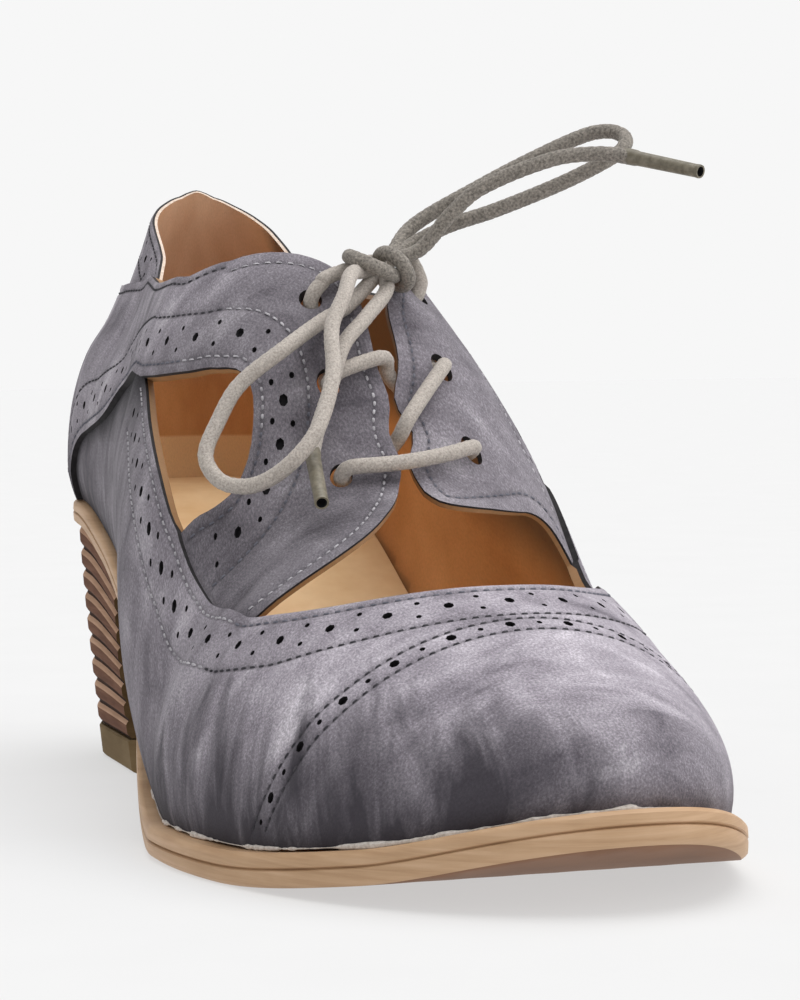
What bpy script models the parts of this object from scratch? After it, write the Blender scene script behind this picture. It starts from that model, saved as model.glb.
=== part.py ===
"""Right-foot lace-up shoe with cut-outs at the sides and front, on a block heel.

Sizes are in millimetres, and new_object turns them into metres. A place on the shoe is a station
from the back of the heel towards the toe, a width to the outer side of the foot, and a height above
the floor. In Blender the toe points to -Y and the outer side of the foot to -X.
"""

import math

import bmesh
import bpy
import numpy as np
from mathutils import Vector
from mathutils.geometry import delaunay_2d_cdt

MM = 0.001
GAP = 0.3
OUTER, INNER = 1, -1


def table(names, *rows):
    """Rows of numbers under named columns; the first column is the one that is looked up."""
    return dict(zip(names.split(), np.array(rows, float).T))


# The last, a solid foot shape: ribs run from its bottom edge up to its crest, side by side along the
# shank, and as fans round one point of the heel and one of the ball
HEEL_CENTRE = 30.0
BALL = 160.0
HEEL_REACH = 24.0
TOE_REACH = 74.0
HEEL_ARC = 46.0
TOE_ARC = 98.0
SHANK_ARC = BALL - HEEL_CENTRE
HALF_ROUND = HEEL_ARC + SHANK_ARC + TOE_ARC
HEEL_POWER = 2.2
TOE_POWER = {OUTER: 2.05, INNER: 2.0}
TOE_SWING = -9.5
WIDTHS = table(
    "station outer inner",
    (30, 27.8, 25.0),
    (60, 28.3, 24.0),
    (95, 30.2, 23.5),
    (130, 36.6, 32.0),
    (160, 40.8, 39.5),
)
SECTIONS = table(
    "station crest squareness bulge",
    (0, 80.0, 2.3, 4.2),
    (30, 80.0, 2.3, 4.2),
    (60, 81.0, 2.4, 4.5),
    (95, 82.0, 2.45, 6.5),
    (130, 74.0, 2.7, 6.0),
    (160, 51.5, 2.15, 2.4),
    (200, 42.0, 2.1, 2.4),
    (240, 31.0, 2.1, 2.4),
)
# The ankle: how much narrower the last is, as a share of its width, up to the collar, and where
# along the shoe that fades out
ANKLE = table(
    "height narrower",
    (6, 0.0),
    (20, 0.09),
    (29, 0.18),
    (36, 0.31),
    (44, 0.40),
    (54, 0.47),
    (80, 0.55),
)
ANKLE_FADE = table("station share", (42, 1.0), (98, 0.0))

# The sole under the last, and how far its edge stands out from the last
SOLE = table(
    "station underside thickness flange",
    (0, 50.0, 5.0, 3.4),
    (30, 48.5, 5.0, 3.4),
    (55, 42.5, 5.0, 3.4),
    (90, 27.8, 4.8, 3.5),
    (120, 13.0, 5.0, 4.4),
    (145, 1.6, 5.4, 5.4),
    (156, 0.0, 5.5, 5.6),
    (186, 0.0, 5.5, 5.6),
    (215, 3.0, 5.5, 5.6),
    (240, 10.8, 5.5, 5.6),
)
# From the underside (share 0) to the top (share 1): a line runs round it between its two layers
SOLE_EDGE = table(
    "share out",
    (0.0, -1.2),
    (0.16, -0.1),
    (0.48, 0.0),
    (0.54, -0.45),
    (0.60, 0.0),
    (0.86, -0.1),
    (1.0, -0.9),
)
INSOLE_THICK = 2.4
INSOLE_INSET = 0.6

# The stacked heel
HEEL_BREAST_TOP = 63.0
HEEL_BREAST_BASE = 57.0
HEEL_TAPER = 3.4
HEEL_TOP_INSET = 1.2
HEEL_RIBS = 9
RIB_DEPTH = 0.7
RIB_PROFILE = ((0.0, 1.0), (0.28, 0.0), (0.72, 0.0))
LIFT_HEIGHT = 6.8
LIFT_INSET = 0.7

# The upper's pattern lies flat: stations along the crest line, and distances off it to each side.
# At the heel and the toe it fans out with the ribs.
FACING_SWING = table("station shift", (110, -6.5), (120, -6.5), (158, -1.0), (166, 0.0))
COLLAR_BACK = table(
    "station off",
    (5, 0),
    (5, 5),
    (6, 10.5),
    (11, 18.5),
    (19.5, 24.6),
    (31, 29),
    (41, 32.5),
    (50, 36.8),
)
STRAP_TOP = table(
    "station off",
    (50, 36.8),
    (62, 36.2),
    (75, 34.6),
    (88, 31.5),
    (100, 27),
    (109, 20),
)
# The edges of the lacing, which part where a strand goes down between them
FACING = {
    OUTER: table(
        "station off",
        (109, 20),
        (114, 12.8),
        (117.5, 7.8),
        (121.5, 5.2),
        (127, 4.2),
        (136, 3.5),
        (141.5, 1.8),
        (146.3, 2.5),
        (150.8, 1.0),
        (157, 2.3),
    ),
    INNER: table(
        "station off",
        (109, 20),
        (109.6, 14),
        (111.2, 9),
        (114.2, 5.4),
        (117.5, 3.2),
        (121.5, 1.7),
        (127, 0.4),
        (136, 0.7),
        (141.5, -0.8),
        (146.3, 1.9),
        (150.8, 0.6),
        (157, 2.3),
    ),
}
# The inner side's ends a little past the vamp's edge
PANEL_FRONT = {
    OUTER: table(
        "station off",
        (157, 2.3),
        (161.5, 4),
        (167.5, 7.8),
        (172.2, 13),
        (175, 19.5),
        (175.5, 27.5),
        (174, 36),
    ),
    INNER: table(
        "station off",
        (157, 2.3),
        (160.4, 5),
        (160.4, 9),
        (157, 15.2),
        (152.6, 22.8),
        (148.8, 30),
        (147.2, 36),
        (148.2, 42.1),
    ),
}
# The vamp's top edge: its reach from the ball at each angle, in degrees to the outer side
VAMP_TOP = table("angle reach", (-68, 34.5), (-45, 35.5), (-20, 37.6), (0, 38.6), (68.7, 38.6))
# The cut-outs lie between these two; the inner one is smaller, low on the steeper side
STRAP_LOW = {
    OUTER: table(
        "station off",
        (103, 45.7),
        (112, 40.5),
        (122, 33),
        (127.5, 27),
        (131.5, 23.6),
        (135, 22.6),
        (138.8, 23.2),
        (143, 25.2),
        (145.2, 29),
        (144.6, 34),
        (143, 38.5),
        (142, 43),
    ),
    INNER: table(
        "station off",
        (103, 45.7),
        (108, 42.5),
        (114, 39.2),
        (120, 37.2),
        (125, 37.6),
        (128.8, 40),
        (130.6, 43.2),
        (131, 46.5),
    ),
}
SIDE_WALL_TOP = {
    OUTER: table("station off", (103, 45.7), (116, 46.2), (131, 45.3), (138, 44.4), (142, 43)),
    INNER: table("station off", (103, 45.7), (110, 50.5), (118, 53), (125, 51.8), (131, 46.5)),
}
VAMP_OVER_PANEL = {
    OUTER: table("station off", (142, 43), (148, 41.6), (155, 39.4), (164, 37.9), (174, 36)),
    INNER: table(
        "station off",
        (131, 46.5),
        (136, 45),
        (142, 43),
        (148, 41.4),
        (155, 38.9),
        (164, 35.6),
        (172.9, 32),
    ),
}
QUARTER_OVER_VAMP = table(
    "station off",
    (103, 45.7),
    (90, 49.8),
    (79, 53.3),
    (70, 57.2),
    (65.5, 61.3),
    (58, 65.8),
    (46, 70.3),
    (34, 75),
)
QUARTER_FOOT = 44.0
STRAP_OVER_COUNTER = table(
    "station off",
    (50, 36.8),
    (36, 40),
    (22, 41.2),
    (9, 38.5),
    (-4, 34),
    (-17, 26),
    (-25.5, 13),
    (-28.5, 0),
)
PATTERN_STEP = 4.8
PATTERN_GRID = 7.8

# Thickness of the wall, and how it changes where one piece lies over another
COUNTER_WALL = 1.4
QUARTER_WALL = table("station wall", (100, 2.8), (116, 2.5), (138, 1.6), (150, 1.4))
VAMP_WALL = table("station wall", (84, 1.6), (125, 2.3), (150, 2.6), (178, 2.5), (205, 1.9))

# The lace: it lies on one face of the upper, then on the other, changing face at each stop
LACE = 2.8
LACE_CLEARANCE = 0.45
EYELET = 4.8
EYELETS = {
    OUTER: table("station off", (152, 11.7), (138.5, 12.3), (124.5, 12.8)),
    INNER: table("station off", (146.3, 13), (134.8, 8.9), (118.5, 8.6)),
}
# The strand from each stop to the next sags this much to the toe at its middle
LACE_STOPS = table(
    "station off sag",
    (122.5, 8.9, 0),
    (124.5, 12.8, 0),
    (138.5, 12.3, 0),
    (136, 1.4, 0),
    (146.3, -13, 3.2),
    (152, 11.7, 0),
    (146.3, 0.3, 0),
    (134.8, -8.9, 0),
    (118.5, -8.6, 0),
    (113.4, -5.5, 0),
)
# How a strand leaves a stop: the way gone, and the height, 1 being where it lies on the face
LACE_DIVE = table("gone height", (0.2, 0.33), (0.9, 0.84), (2.2, 1.08))

# The bow: its knot, two loops and two ends with their tips
KNOT_CENTRE = (122.6, -7.0, 100)
KNOT_HALF = (3.6, 5.2, 4.2)
LOOP_LOWER = table(
    "station width height",
    (127, -2, 98),
    (131, 1.1, 97.4),
    (137, 4.2, 93.6),
    (142, 8, 88),
    (150.5, 10.5, 79.5),
    (158, 15.5, 70.5),
    (159.5, 19.5, 66),
    (157.5, 23.5, 62.5),
    (154, 27, 61),
    (149.5, 30.5, 62),
    (146, 32, 66),
    (143.5, 29, 72),
    (142.5, 25, 78),
    (142, 17, 84),
    (140.5, 9, 91),
    (136, 2, 97.5),
    (128.5, -4, 101.8),
)
LOOP_UPPER = table(
    "station width height",
    (118.3, -14.8, 103.4),
    (119.5, -21, 106.5),
    (122.5, -29, 109.2),
    (127.6, -40, 113.8),
    (130.6, -47.4, 117.6),
    (130.4, -51.2, 120),
    (127.6, -52.9, 122.3),
    (123.7, -51.7, 123.8),
    (120.9, -48, 123.4),
    (118, -39, 119.4),
    (115.6, -28, 113.7),
    (114.8, -15.6, 106.6),
)
END_LOWER = table(
    "station width height",
    (126.5, -4.5, 94.6),
    (132.8, 2, 92),
    (140.3, 5.5, 84.7),
    (146, 10, 76),
    (149, 13, 70),
    (153, 15, 66.5),
)
TIP_LOWER = table("station width height", (153.7, 15.2, 66.0), (168, 17.8, 58.5))
END_UPPER = table(
    "station width height",
    (122, -14.8, 102.2),
    (124.5, -20, 108.5),
    (126.8, -25, 113),
    (132, -37, 118),
    (135.5, -44.5, 118.8),
    (139.5, -49, 118),
)
TIP_UPPER = table("station width height", (140.2, -49.6, 117.8), (153, -57, 114.5))
TIP = 3.0

# Colours, as red, green and blue, with roughness
SUEDE = ((0.20, 0.19, 0.21), 0.9)
SOLE_TAN = ((0.50, 0.33, 0.20), 0.55)
HEEL_BROWN = ((0.30, 0.17, 0.10), 0.55)
LIFT_OLIVE = ((0.19, 0.13, 0.07), 0.6)
LINING_TAN = ((0.62, 0.42, 0.22), 0.6)
CORD_GREY = ((0.42, 0.39, 0.35), 0.85)
AGLET_BROWN = ((0.20, 0.16, 0.12), 0.4)


# Reading the tables


def curve(rows, column, x):
    """A column of a table as a smooth curve that never overshoots its rows."""
    keys = next(iter(rows.values()))
    values = rows[column]
    step = np.diff(keys)
    slope = np.diff(values) / step
    tangent = np.zeros(len(keys))
    tangent[0], tangent[-1] = slope[0], slope[-1]
    for i in range(1, len(keys) - 1):
        if slope[i - 1] * slope[i] > 0:
            before, after = 2 * step[i] + step[i - 1], step[i] + 2 * step[i - 1]
            tangent[i] = (before + after) / (before / slope[i - 1] + after / slope[i])
    x = np.clip(x, keys[0], keys[-1])
    k = np.clip(np.searchsorted(keys, x, side="right") - 1, 0, len(step) - 1)
    t = (x - keys[k]) / step[k]
    ends = (1 + 2 * t) * (1 - t) ** 2 * values[k] + t * t * (3 - 2 * t) * values[k + 1]
    return ends + step[k] * t * (1 - t) * ((1 - t) * tangent[k] - t * tangent[k + 1])


def smooth_line(points, spacing):
    """Points at even steps along a curve through these points."""
    points = np.asarray(points, float)
    padded = np.concatenate([[2 * points[0] - points[1]], points, [2 * points[-1] - points[-2]]])
    fine = [points[:1]]
    t = np.linspace(0, 1, 25)[1:, None]
    for a, b, c, d in zip(padded, padded[1:], padded[2:], padded[3:]):
        bend_in = (c - a) * np.linalg.norm(c - b) / (np.linalg.norm(c - b) + np.linalg.norm(b - a))
        bend_out = (d - b) * np.linalg.norm(c - b) / (np.linalg.norm(d - c) + np.linalg.norm(c - b))
        ends = (1 + 2 * t) * (1 - t) ** 2 * b + t * t * (3 - 2 * t) * c
        fine.append(ends + t * (1 - t) * ((1 - t) * bend_in - t * bend_out))
    fine = np.concatenate(fine)
    run = np.concatenate([[0], np.cumsum(np.linalg.norm(np.diff(fine, axis=0), axis=1))])
    even = np.linspace(0, run[-1], max(2, round(run[-1] / spacing) + 1))
    return np.stack([np.interp(even, run, column) for column in fine.T], -1)


# The last


def swing(station):
    share = np.clip((station - BALL) / TOE_REACH, 0, 1.3)
    return TOE_SWING * share * share


def sole_underside(station):
    return curve(SOLE, "underside", station)


def sole_top(station):
    return sole_underside(station) + curve(SOLE, "thickness", station)


def rib(along):
    """Where a rib starts on the crest, and its direction in plan, from its place round the edge."""
    heel = np.clip(along / HEEL_ARC, 0, 1)
    toe = np.clip((along - HEEL_ARC - SHANK_ARC) / TOE_ARC, 0, 1)
    spine = np.clip(HEEL_CENTRE + along - HEEL_ARC, HEEL_CENTRE, BALL)
    return spine, math.pi / 2 * (2 - heel - toe)


def plan_radius(along, side):
    """Length of a rib in plan, from the crest out to the last's bottom edge."""
    spine, angle = rib(along)
    half = np.where(side > 0, curve(WIDTHS, "outer", spine), curve(WIDTHS, "inner", spine))
    behind = angle > math.pi / 2
    reach = np.where(behind, HEEL_REACH, TOE_REACH)
    power = np.where(behind, HEEL_POWER, np.where(side > 0, TOE_POWER[OUTER], TOE_POWER[INNER]))
    forward, across = np.abs(np.cos(angle)) / reach, np.abs(np.sin(angle)) / half
    return (forward**power + across**power) ** (-1 / power)


def section(along, turn, side):
    """The last over a flat sole: turn goes from 0 at the bottom edge to 1 on the crest."""
    spine, angle = rib(along)
    radius = plan_radius(along, side)
    near = spine + np.cos(angle) * radius * np.cos(turn * math.pi / 2)
    power = 2 / curve(SECTIONS, "squareness", near)
    inward = np.cos(turn * math.pi / 2) ** power
    upward = np.sin(turn * math.pi / 2) ** power
    out = inward * (radius + curve(SECTIONS, "bulge", near) * np.sin(math.pi * upward**0.8))
    station = spine + np.cos(angle) * out
    height = curve(SECTIONS, "crest", station) * upward
    narrower = curve(ANKLE, "narrower", height) * curve(ANKLE_FADE, "share", station)
    return np.stack([station, side * np.sin(angle) * out * (1 - narrower), height], -1)


def on_sole(points):
    """Bends a shape that was worked out over a flat sole onto the real one."""
    station = points[..., 0]
    width = points[..., 1] + swing(station)
    return np.stack([station, width, points[..., 2] + sole_top(station) + GAP], -1)


class Pattern:
    """The flat pattern of the upper, and the way from it to the last."""

    STEPS = 96

    def __init__(self):
        self.alongs = np.linspace(0, HALF_ROUND, 138)
        self.girths, self.turns = {}, {}
        turn = np.linspace(0, 1, 4 * self.STEPS + 1)
        for side in (OUTER, INNER):
            grid = section(self.alongs[:, None], turn, side)
            run = np.cumsum(np.linalg.norm(np.diff(grid, axis=1), axis=-1), axis=1)
            run = np.pad(run, ((0, 0), (1, 0)))
            shares = np.linspace(0, 1, self.STEPS + 1)
            self.girths[side] = run[:, -1]
            self.turns[side] = np.array([np.interp(shares * row[-1], row, turn) for row in run])

    def girth(self, along, side):
        outer, inner = (np.interp(along, self.alongs, self.girths[s]) for s in (OUTER, INNER))
        return np.where(side > 0, outer, inner)

    def flat(self, along, rise, side):
        """The place on the flat pattern, rise being the way up from the last's bottom edge."""
        spine, angle = rib(along)
        left = self.girth(along, side) - rise
        return np.stack([spine + np.cos(angle) * left, side * np.sin(angle) * left], -1)

    def place(self, flat):
        x, y = flat[..., 0], flat[..., 1]
        side = np.where(y >= 0, OUTER, INNER)
        ahead = np.minimum(x - HEEL_CENTRE, 0) + np.maximum(x - BALL, 0)
        angle = np.arctan2(np.abs(y), ahead) / (math.pi / 2)
        heel = HEEL_ARC * (2 - angle)
        toe = HEEL_ARC + SHANK_ARC + TOE_ARC * (1 - angle)
        along = np.where(ahead < 0, heel, np.where(ahead > 0, toe, HEEL_ARC + x - HEEL_CENTRE))
        return along, self.girth(along, side) - np.hypot(ahead, y), side

    def on_last(self, flat):
        along, rise, side = self.place(flat)
        share = np.clip(rise / self.girth(along, side), 0, 1) * self.STEPS
        row = np.interp(along, self.alongs, np.arange(len(self.alongs)))
        i = np.minimum(row.astype(int), len(self.alongs) - 2)
        j = np.minimum(share.astype(int), self.STEPS - 1)
        a, b = row - i, share - j
        turn = []
        for turns in (self.turns[OUTER], self.turns[INNER]):
            near = turns[i, j] * (1 - b) + turns[i, j + 1] * b
            turn.append(near * (1 - a) + (turns[i + 1, j] * (1 - b) + turns[i + 1, j + 1] * b) * a)
        return section(along, np.where(side > 0, turn[0], turn[1]), side)

    def raised(self, flat, lift):
        """Points this far out from the last, square to it but level at its bottom edge."""
        flat = np.asarray(flat, float)
        step = np.array([[0.4, 0.0], [0.0, 0.4]])
        tangents = [self.on_last(flat + d) - self.on_last(flat - d) for d in step]
        normal = np.cross(*tangents)
        normal /= np.linalg.norm(normal, axis=-1, keepdims=True)
        share = np.clip(self.place(flat)[1] / 10, 0, 1)
        normal[..., 2] *= share * share * (3 - 2 * share)
        normal /= np.linalg.norm(normal, axis=-1, keepdims=True)
        return self.on_last(flat) + normal * np.asarray(lift)[..., None]


PATTERN = Pattern()


# The pattern's lines


def swung(flat):
    """Lines near the lacing lean to the inner side, more towards its top."""
    share = np.clip((26 - np.abs(flat[:, 1])) / 14, 0, 1)
    lean = curve(FACING_SWING, "shift", flat[:, 0]) * (flat[:, 0] > 60)
    return np.stack([flat[:, 0], flat[:, 1] + lean * share], -1)


def line(rows, side, spacing=PATTERN_STEP):
    points = smooth_line(np.stack([rows["station"], rows["off"]], -1), spacing)
    return swung(points * (1, side))


def vamp_line(spacing):
    """The vamp's top edge, from the outer side's panel round to the inner side's."""
    angles = VAMP_TOP["angle"]
    count = round(math.radians(angles[-1] - angles[0]) * VAMP_TOP["reach"].max() / spacing)
    angles = np.linspace(angles[-1], angles[0], count + 1)
    reach, turn = curve(VAMP_TOP, "reach", angles), np.radians(angles)
    points = np.stack([BALL + reach * np.cos(turn), reach * np.sin(turn)], -1)
    for place, side in ((0, OUTER), (-1, INNER)):
        points[place] = VAMP_OVER_PANEL[side]["station"][-1], VAMP_OVER_PANEL[side]["off"][-1] * side
    return points


def quarter_line(side, spacing):
    """The quarter's rear edge, over the vamp's side wall down to the sole."""
    foot = PATTERN.flat(np.array([QUARTER_FOOT]), np.zeros(1), side)
    rows = np.stack([QUARTER_OVER_VAMP["station"], QUARTER_OVER_VAMP["off"] * side], -1)
    return smooth_line(np.concatenate([rows, foot]), spacing)


def bottom_line(spacing):
    count = round(HALF_ROUND / spacing)
    alongs = np.sort(np.append(np.linspace(0, HALF_ROUND, count + 1), QUARTER_FOOT))
    outer = PATTERN.flat(alongs, 0 * alongs, OUTER)
    inner = PATTERN.flat(alongs[-2:0:-1], 0 * alongs[-2:0:-1], INNER)
    return np.concatenate([outer, inner, outer[:1]])


def eyelets():
    places = [np.stack([rows["station"], side * rows["off"]], -1) for side, rows in EYELETS.items()]
    return swung(np.concatenate(places))


def pattern_lines():
    lines = [bottom_line(PATTERN_STEP), vamp_line(PATTERN_STEP)]
    for side in (OUTER, INNER):
        for rows in (COLLAR_BACK, STRAP_TOP, STRAP_OVER_COUNTER):
            lines.append(line(rows, side))
        for rows in (PANEL_FRONT, SIDE_WALL_TOP, VAMP_OVER_PANEL):
            lines.append(line(rows[side], side))
        for rows in (FACING, STRAP_LOW):
            lines.append(line(rows[side], side, 3.0))
        lines.append(quarter_line(side, PATTERN_STEP))
    angles = np.linspace(0, 2 * math.pi, 13)
    ring = np.stack([np.cos(angles), np.sin(angles)], -1) * EYELET / 2
    return lines + [centre + ring for centre in eyelets()]


# Flat meshes


class Net:
    """Points and edges of a flat drawing, with equal points made one."""

    def __init__(self):
        self.points, self.edges, self.index = [], [], {}

    def point(self, xy):
        key = (round(float(xy[0]), 2), round(float(xy[1]), 2))
        if key not in self.index:
            self.index[key] = len(self.points)
            self.points.append((float(xy[0]), float(xy[1])))
        return self.index[key]

    def add_line(self, points):
        ids = [self.point(p) for p in points]
        self.edges += [(a, b) for a, b in zip(ids, ids[1:]) if a != b]

    def fill(self, spacing):
        """Adds a staggered grid of points that keeps clear of the lines."""
        ends = np.array(self.points)[np.array(self.edges)]
        low, high = ends.min((0, 1)), ends.max((0, 1))
        rows = np.arange(low[1], high[1], spacing * 0.87)
        for number, y in enumerate(rows):
            xs = np.arange(low[0] + spacing / 2 * (number % 2), high[0], spacing)
            grid = np.stack([xs, np.full(len(xs), y)], -1)
            for xy in grid[distance_to(ends, grid) > spacing * 0.5]:
                self.point(xy)

    def triangles(self):
        """(points, triangles, the edges drawn)."""
        flat = [Vector(p) for p in self.points]
        points, edges, faces, _, drawn, _ = delaunay_2d_cdt(flat, self.edges, [], 0, 1e-5)
        barriers = {tuple(sorted(e)) for e, source in zip(edges, drawn) if source}
        return np.array([tuple(p) for p in points]), [tuple(f) for f in faces], barriers


def distance_to(ends, points):
    start, along = ends[:, 0], ends[:, 1] - ends[:, 0]
    reach = points[:, None] - start
    share = np.clip((reach * along).sum(-1) / np.maximum((along * along).sum(-1), 1e-12), 0, 1)
    return np.linalg.norm(reach - share[..., None] * along, axis=-1).min(1)


def edges_of(face):
    return [tuple(sorted((face[i], face[i - 1]))) for i in range(3)]


def neighbours(faces):
    sides = {}
    for number, face in enumerate(faces):
        for edge in edges_of(face):
            sides.setdefault(edge, []).append(number)
    return sides


def flooded(points, faces, barriers, seeds):
    """The name of the seed that each face's region holds, or None."""
    sides = neighbours(faces)
    centres = points[np.array(faces)].mean(1)
    names = [None] * len(faces)
    for name, seed in seeds:
        todo = [int(np.linalg.norm(centres - seed, axis=1).argmin())]
        while todo:
            number = todo.pop()
            if names[number] is not None:
                continue
            names[number] = name
            for edge in edges_of(faces[number]):
                if edge not in barriers:
                    todo += sides[edge]
    return names


# Objects


def new_material(name, colour, roughness):
    material = bpy.data.materials.new(name)
    material.use_nodes = True
    shader = material.node_tree.nodes["Principled BSDF"]
    shader.inputs["Base Color"].default_value = (*colour, 1)
    shader.inputs["Roughness"].default_value = roughness
    return material


def new_object(name, bm, finish, smooth_angle=40):
    """A mesh object under the shoe's root, from stations, widths and heights in millimetres."""
    for vertex in bm.verts:
        station, width, height = vertex.co
        vertex.co = Vector((-width, -station, height)) * MM
    bmesh.ops.recalc_face_normals(bm, faces=bm.faces)
    if bm.calc_volume(signed=True) < 0:
        bmesh.ops.reverse_faces(bm, faces=bm.faces)
    mesh = bpy.data.meshes.new(name)
    bm.to_mesh(mesh)
    bm.free()
    mesh.shade_smooth()
    mesh.set_sharp_from_angle(angle=math.radians(smooth_angle))
    mesh.materials.append(new_material(name, *finish))
    obj = bpy.data.objects.new(name, mesh)
    SHOE.objects.link(obj)
    obj.parent = ROOT
    return obj


def add_points(bm, points):
    return [bm.verts.new(p) for p in np.asarray(points, float)]


def bridge(bm, rings, closed=True):
    """Quads between rings of equally many points."""
    for low, high in zip(rings, rings[1:]):
        for i in range(0 if closed else 1, len(low)):
            bm.faces.new((low[i - 1], low[i], high[i], high[i - 1]))


# The upper


def wall(region, flat):
    if region == "counter":
        return np.full(len(flat), COUNTER_WALL)
    rows = QUARTER_WALL if region == "quarter" else VAMP_WALL
    return curve(rows, "wall", flat[:, 0])


def zip_columns(bm, first, second):
    """Triangles between two columns of points, which may differ in number."""
    i = j = 0
    while i + 1 < len(first) or j + 1 < len(second):
        if j + 1 == len(second) or (i + 1 < len(first) and i <= j):
            bm.faces.new((first[i], second[j], first[i + 1]))
            i += 1
        else:
            bm.faces.new((first[i], second[j], second[j + 1]))
            j += 1


def raised_solid(bm, points, faces, names):
    """A wall over the faces that have a name: its inner face on the last, its outer face one
    thickness out, with a step wherever two regions of unlike thickness meet."""
    levels = {}
    for region in sorted({name for name in names if name}):
        lifts = wall(region, points)
        for face, name in zip(faces, names):
            if name == region:
                for v in face:
                    levels.setdefault(v, {"lining": 0.0})[region] = float(lifts[v])
    columns = {}
    for v, lifts in levels.items():
        order = sorted(lifts.items(), key=lambda item: item[1])
        spots = PATTERN.raised(np.repeat(points[v : v + 1], len(order), 0), [lift for _, lift in order])
        columns[v] = {name: co for (name, _), co in zip(order, add_points(bm, on_sole(spots)))}

    def column(v, low, high):
        """The points at this place from one region's level to another's."""
        order = list(columns[v])
        first, last = sorted((order.index(low), order.index(high)))
        return [columns[v][name] for name in order[first : last + 1]]

    for face, name in zip(faces, names):
        if name:
            bm.faces.new([columns[v][name] for v in face])
            bm.faces.new([columns[v]["lining"] for v in reversed(face)])
    for (a, b), numbers in neighbours(faces).items():
        found = [names[n] for n in numbers if names[n]]
        if len(found) == 1:
            found.append("lining")
        if len(found) == 2 and found[0] != found[1]:
            zip_columns(bm, column(a, *found), column(b, *found))


def upper():
    net = Net()
    for points in pattern_lines():
        net.add_line(points)
    net.fill(PATTERN_GRID)
    points, faces, barriers = net.triangles()
    seeds = [("vamp", (230, 0)), ("counter", (-12, 0)), ("quarter", (70, 45)), ("quarter", (70, -45))]
    names = flooded(points, faces, barriers, seeds)
    bm = bmesh.new()
    raised_solid(bm, points, faces, names)
    return new_object("upper", bm, SUEDE, 50)


# Sole, insole and heel


def edge_points(alongs, side, out):
    """Stations and widths along one side of the last's bottom edge, this far out from it."""
    spine, angle = rib(alongs)
    reach = plan_radius(alongs, side) + out
    station = spine + np.cos(angle) * reach
    return np.stack([station, side * np.sin(angle) * reach + swing(station)], -1)


def sole_points(alongs, side, out):
    """The same along the sole's edge."""
    spine, angle = rib(alongs)
    flange = curve(SOLE, "flange", spine + np.cos(angle) * plan_radius(alongs, side))
    return edge_points(alongs, side, flange + out)


def closed_loop(points_of, out, spacing):
    alongs = np.linspace(0, HALF_ROUND, round(HALF_ROUND / spacing) + 1)
    return np.concatenate([points_of(alongs, OUTER, out), points_of(alongs[-2:0:-1], INNER, out)])


def plate(name, rings, heights, finish, grid=9.0):
    """A plate that follows the sole: rings up its edge, and a top and an underside between them."""
    bm = bmesh.new()
    loops = []
    for ring, height in zip(rings, heights):
        loops.append(add_points(bm, np.column_stack([ring, height(ring[:, 0])])))
    bridge(bm, loops)
    for ring, loop, height in ((rings[0], loops[0], heights[0]), (rings[-1], loops[-1], heights[-1])):
        net = Net()
        net.add_line(np.concatenate([ring, ring[:1]]))
        net.fill(grid)
        points, faces, barriers = net.triangles()
        names = flooded(points, faces, barriers, [("inside", (100, 0))])
        inside = {v for face, found in zip(faces, names) if found for v in face}
        corners = dict(enumerate(loop))
        for v in sorted(inside - set(corners)):
            corners[v] = bm.verts.new((*points[v], height(points[v, 0])))
        for face, found in zip(faces, names):
            if found:
                bm.faces.new([corners[v] for v in face])
    return new_object(name, bm, finish)


def outsole():
    rings, heights = [], []
    for share, out in zip(SOLE_EDGE["share"], SOLE_EDGE["out"]):
        rings.append(closed_loop(sole_points, out, 5.2))
        heights.append(lambda s, share=share: sole_underside(s) * (1 - share) + sole_top(s) * share)
    return plate("outsole", rings, heights, SOLE_TAN)


def insole():
    rings, heights = [], []
    for lift, inset in ((0.0, 0.9), (0.5, 0.0), (INSOLE_THICK - 0.5, 0.0), (INSOLE_THICK, 0.7)):
        rings.append(closed_loop(edge_points, -INSOLE_INSET - inset, 6.0))
        heights.append(lambda s, lift=lift: sole_top(s) + GAP + lift)
    return plate("insole", rings, heights, LINING_TAN)


def heel_ring(share, inset):
    """Stations and widths round the heel at this share of its height, from its base to the sole."""
    breast = HEEL_BREAST_BASE + (HEEL_BREAST_TOP - HEEL_BREAST_BASE) * share**2
    corner = HEEL_ARC + breast - HEEL_CENTRE
    out = -HEEL_TOP_INSET - HEEL_TAPER * (1 - share) ** 1.3 - inset
    alongs = np.linspace(corner, 0, 14)
    outer = sole_points(alongs, OUTER, out)
    inner = sole_points(alongs[-2::-1], INNER, out)
    across = np.linspace(0, 1, 5)[1:-1, None]
    front = inner[-1] * (1 - across) + outer[0] * across
    return np.concatenate([outer, inner, front])


def heel_block(name, levels, top_of, finish):
    """Rings of (share, inset), closed by flat ends."""
    bm = bmesh.new()
    loops = []
    for share, inset in levels:
        ring = heel_ring(share, inset)
        loops.append(add_points(bm, np.column_stack([ring, top_of(ring[:, 0], share)])))
    bridge(bm, loops)
    for loop in (loops[0], loops[-1]):
        bmesh.ops.triangulate(bm, faces=[bm.faces.new(loop)])
    return new_object(name, bm, finish)


def heel_height(station, share):
    base = LIFT_HEIGHT + GAP
    return base + (sole_underside(station) - GAP - base) * share


def heel():
    levels = []
    for number in range(HEEL_RIBS):
        levels += [((number + up) / HEEL_RIBS, depth * RIB_DEPTH) for up, depth in RIB_PROFILE]
    levels.append((1.0, RIB_DEPTH))
    return heel_block("heel", levels, heel_height, HEEL_BROWN)


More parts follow.
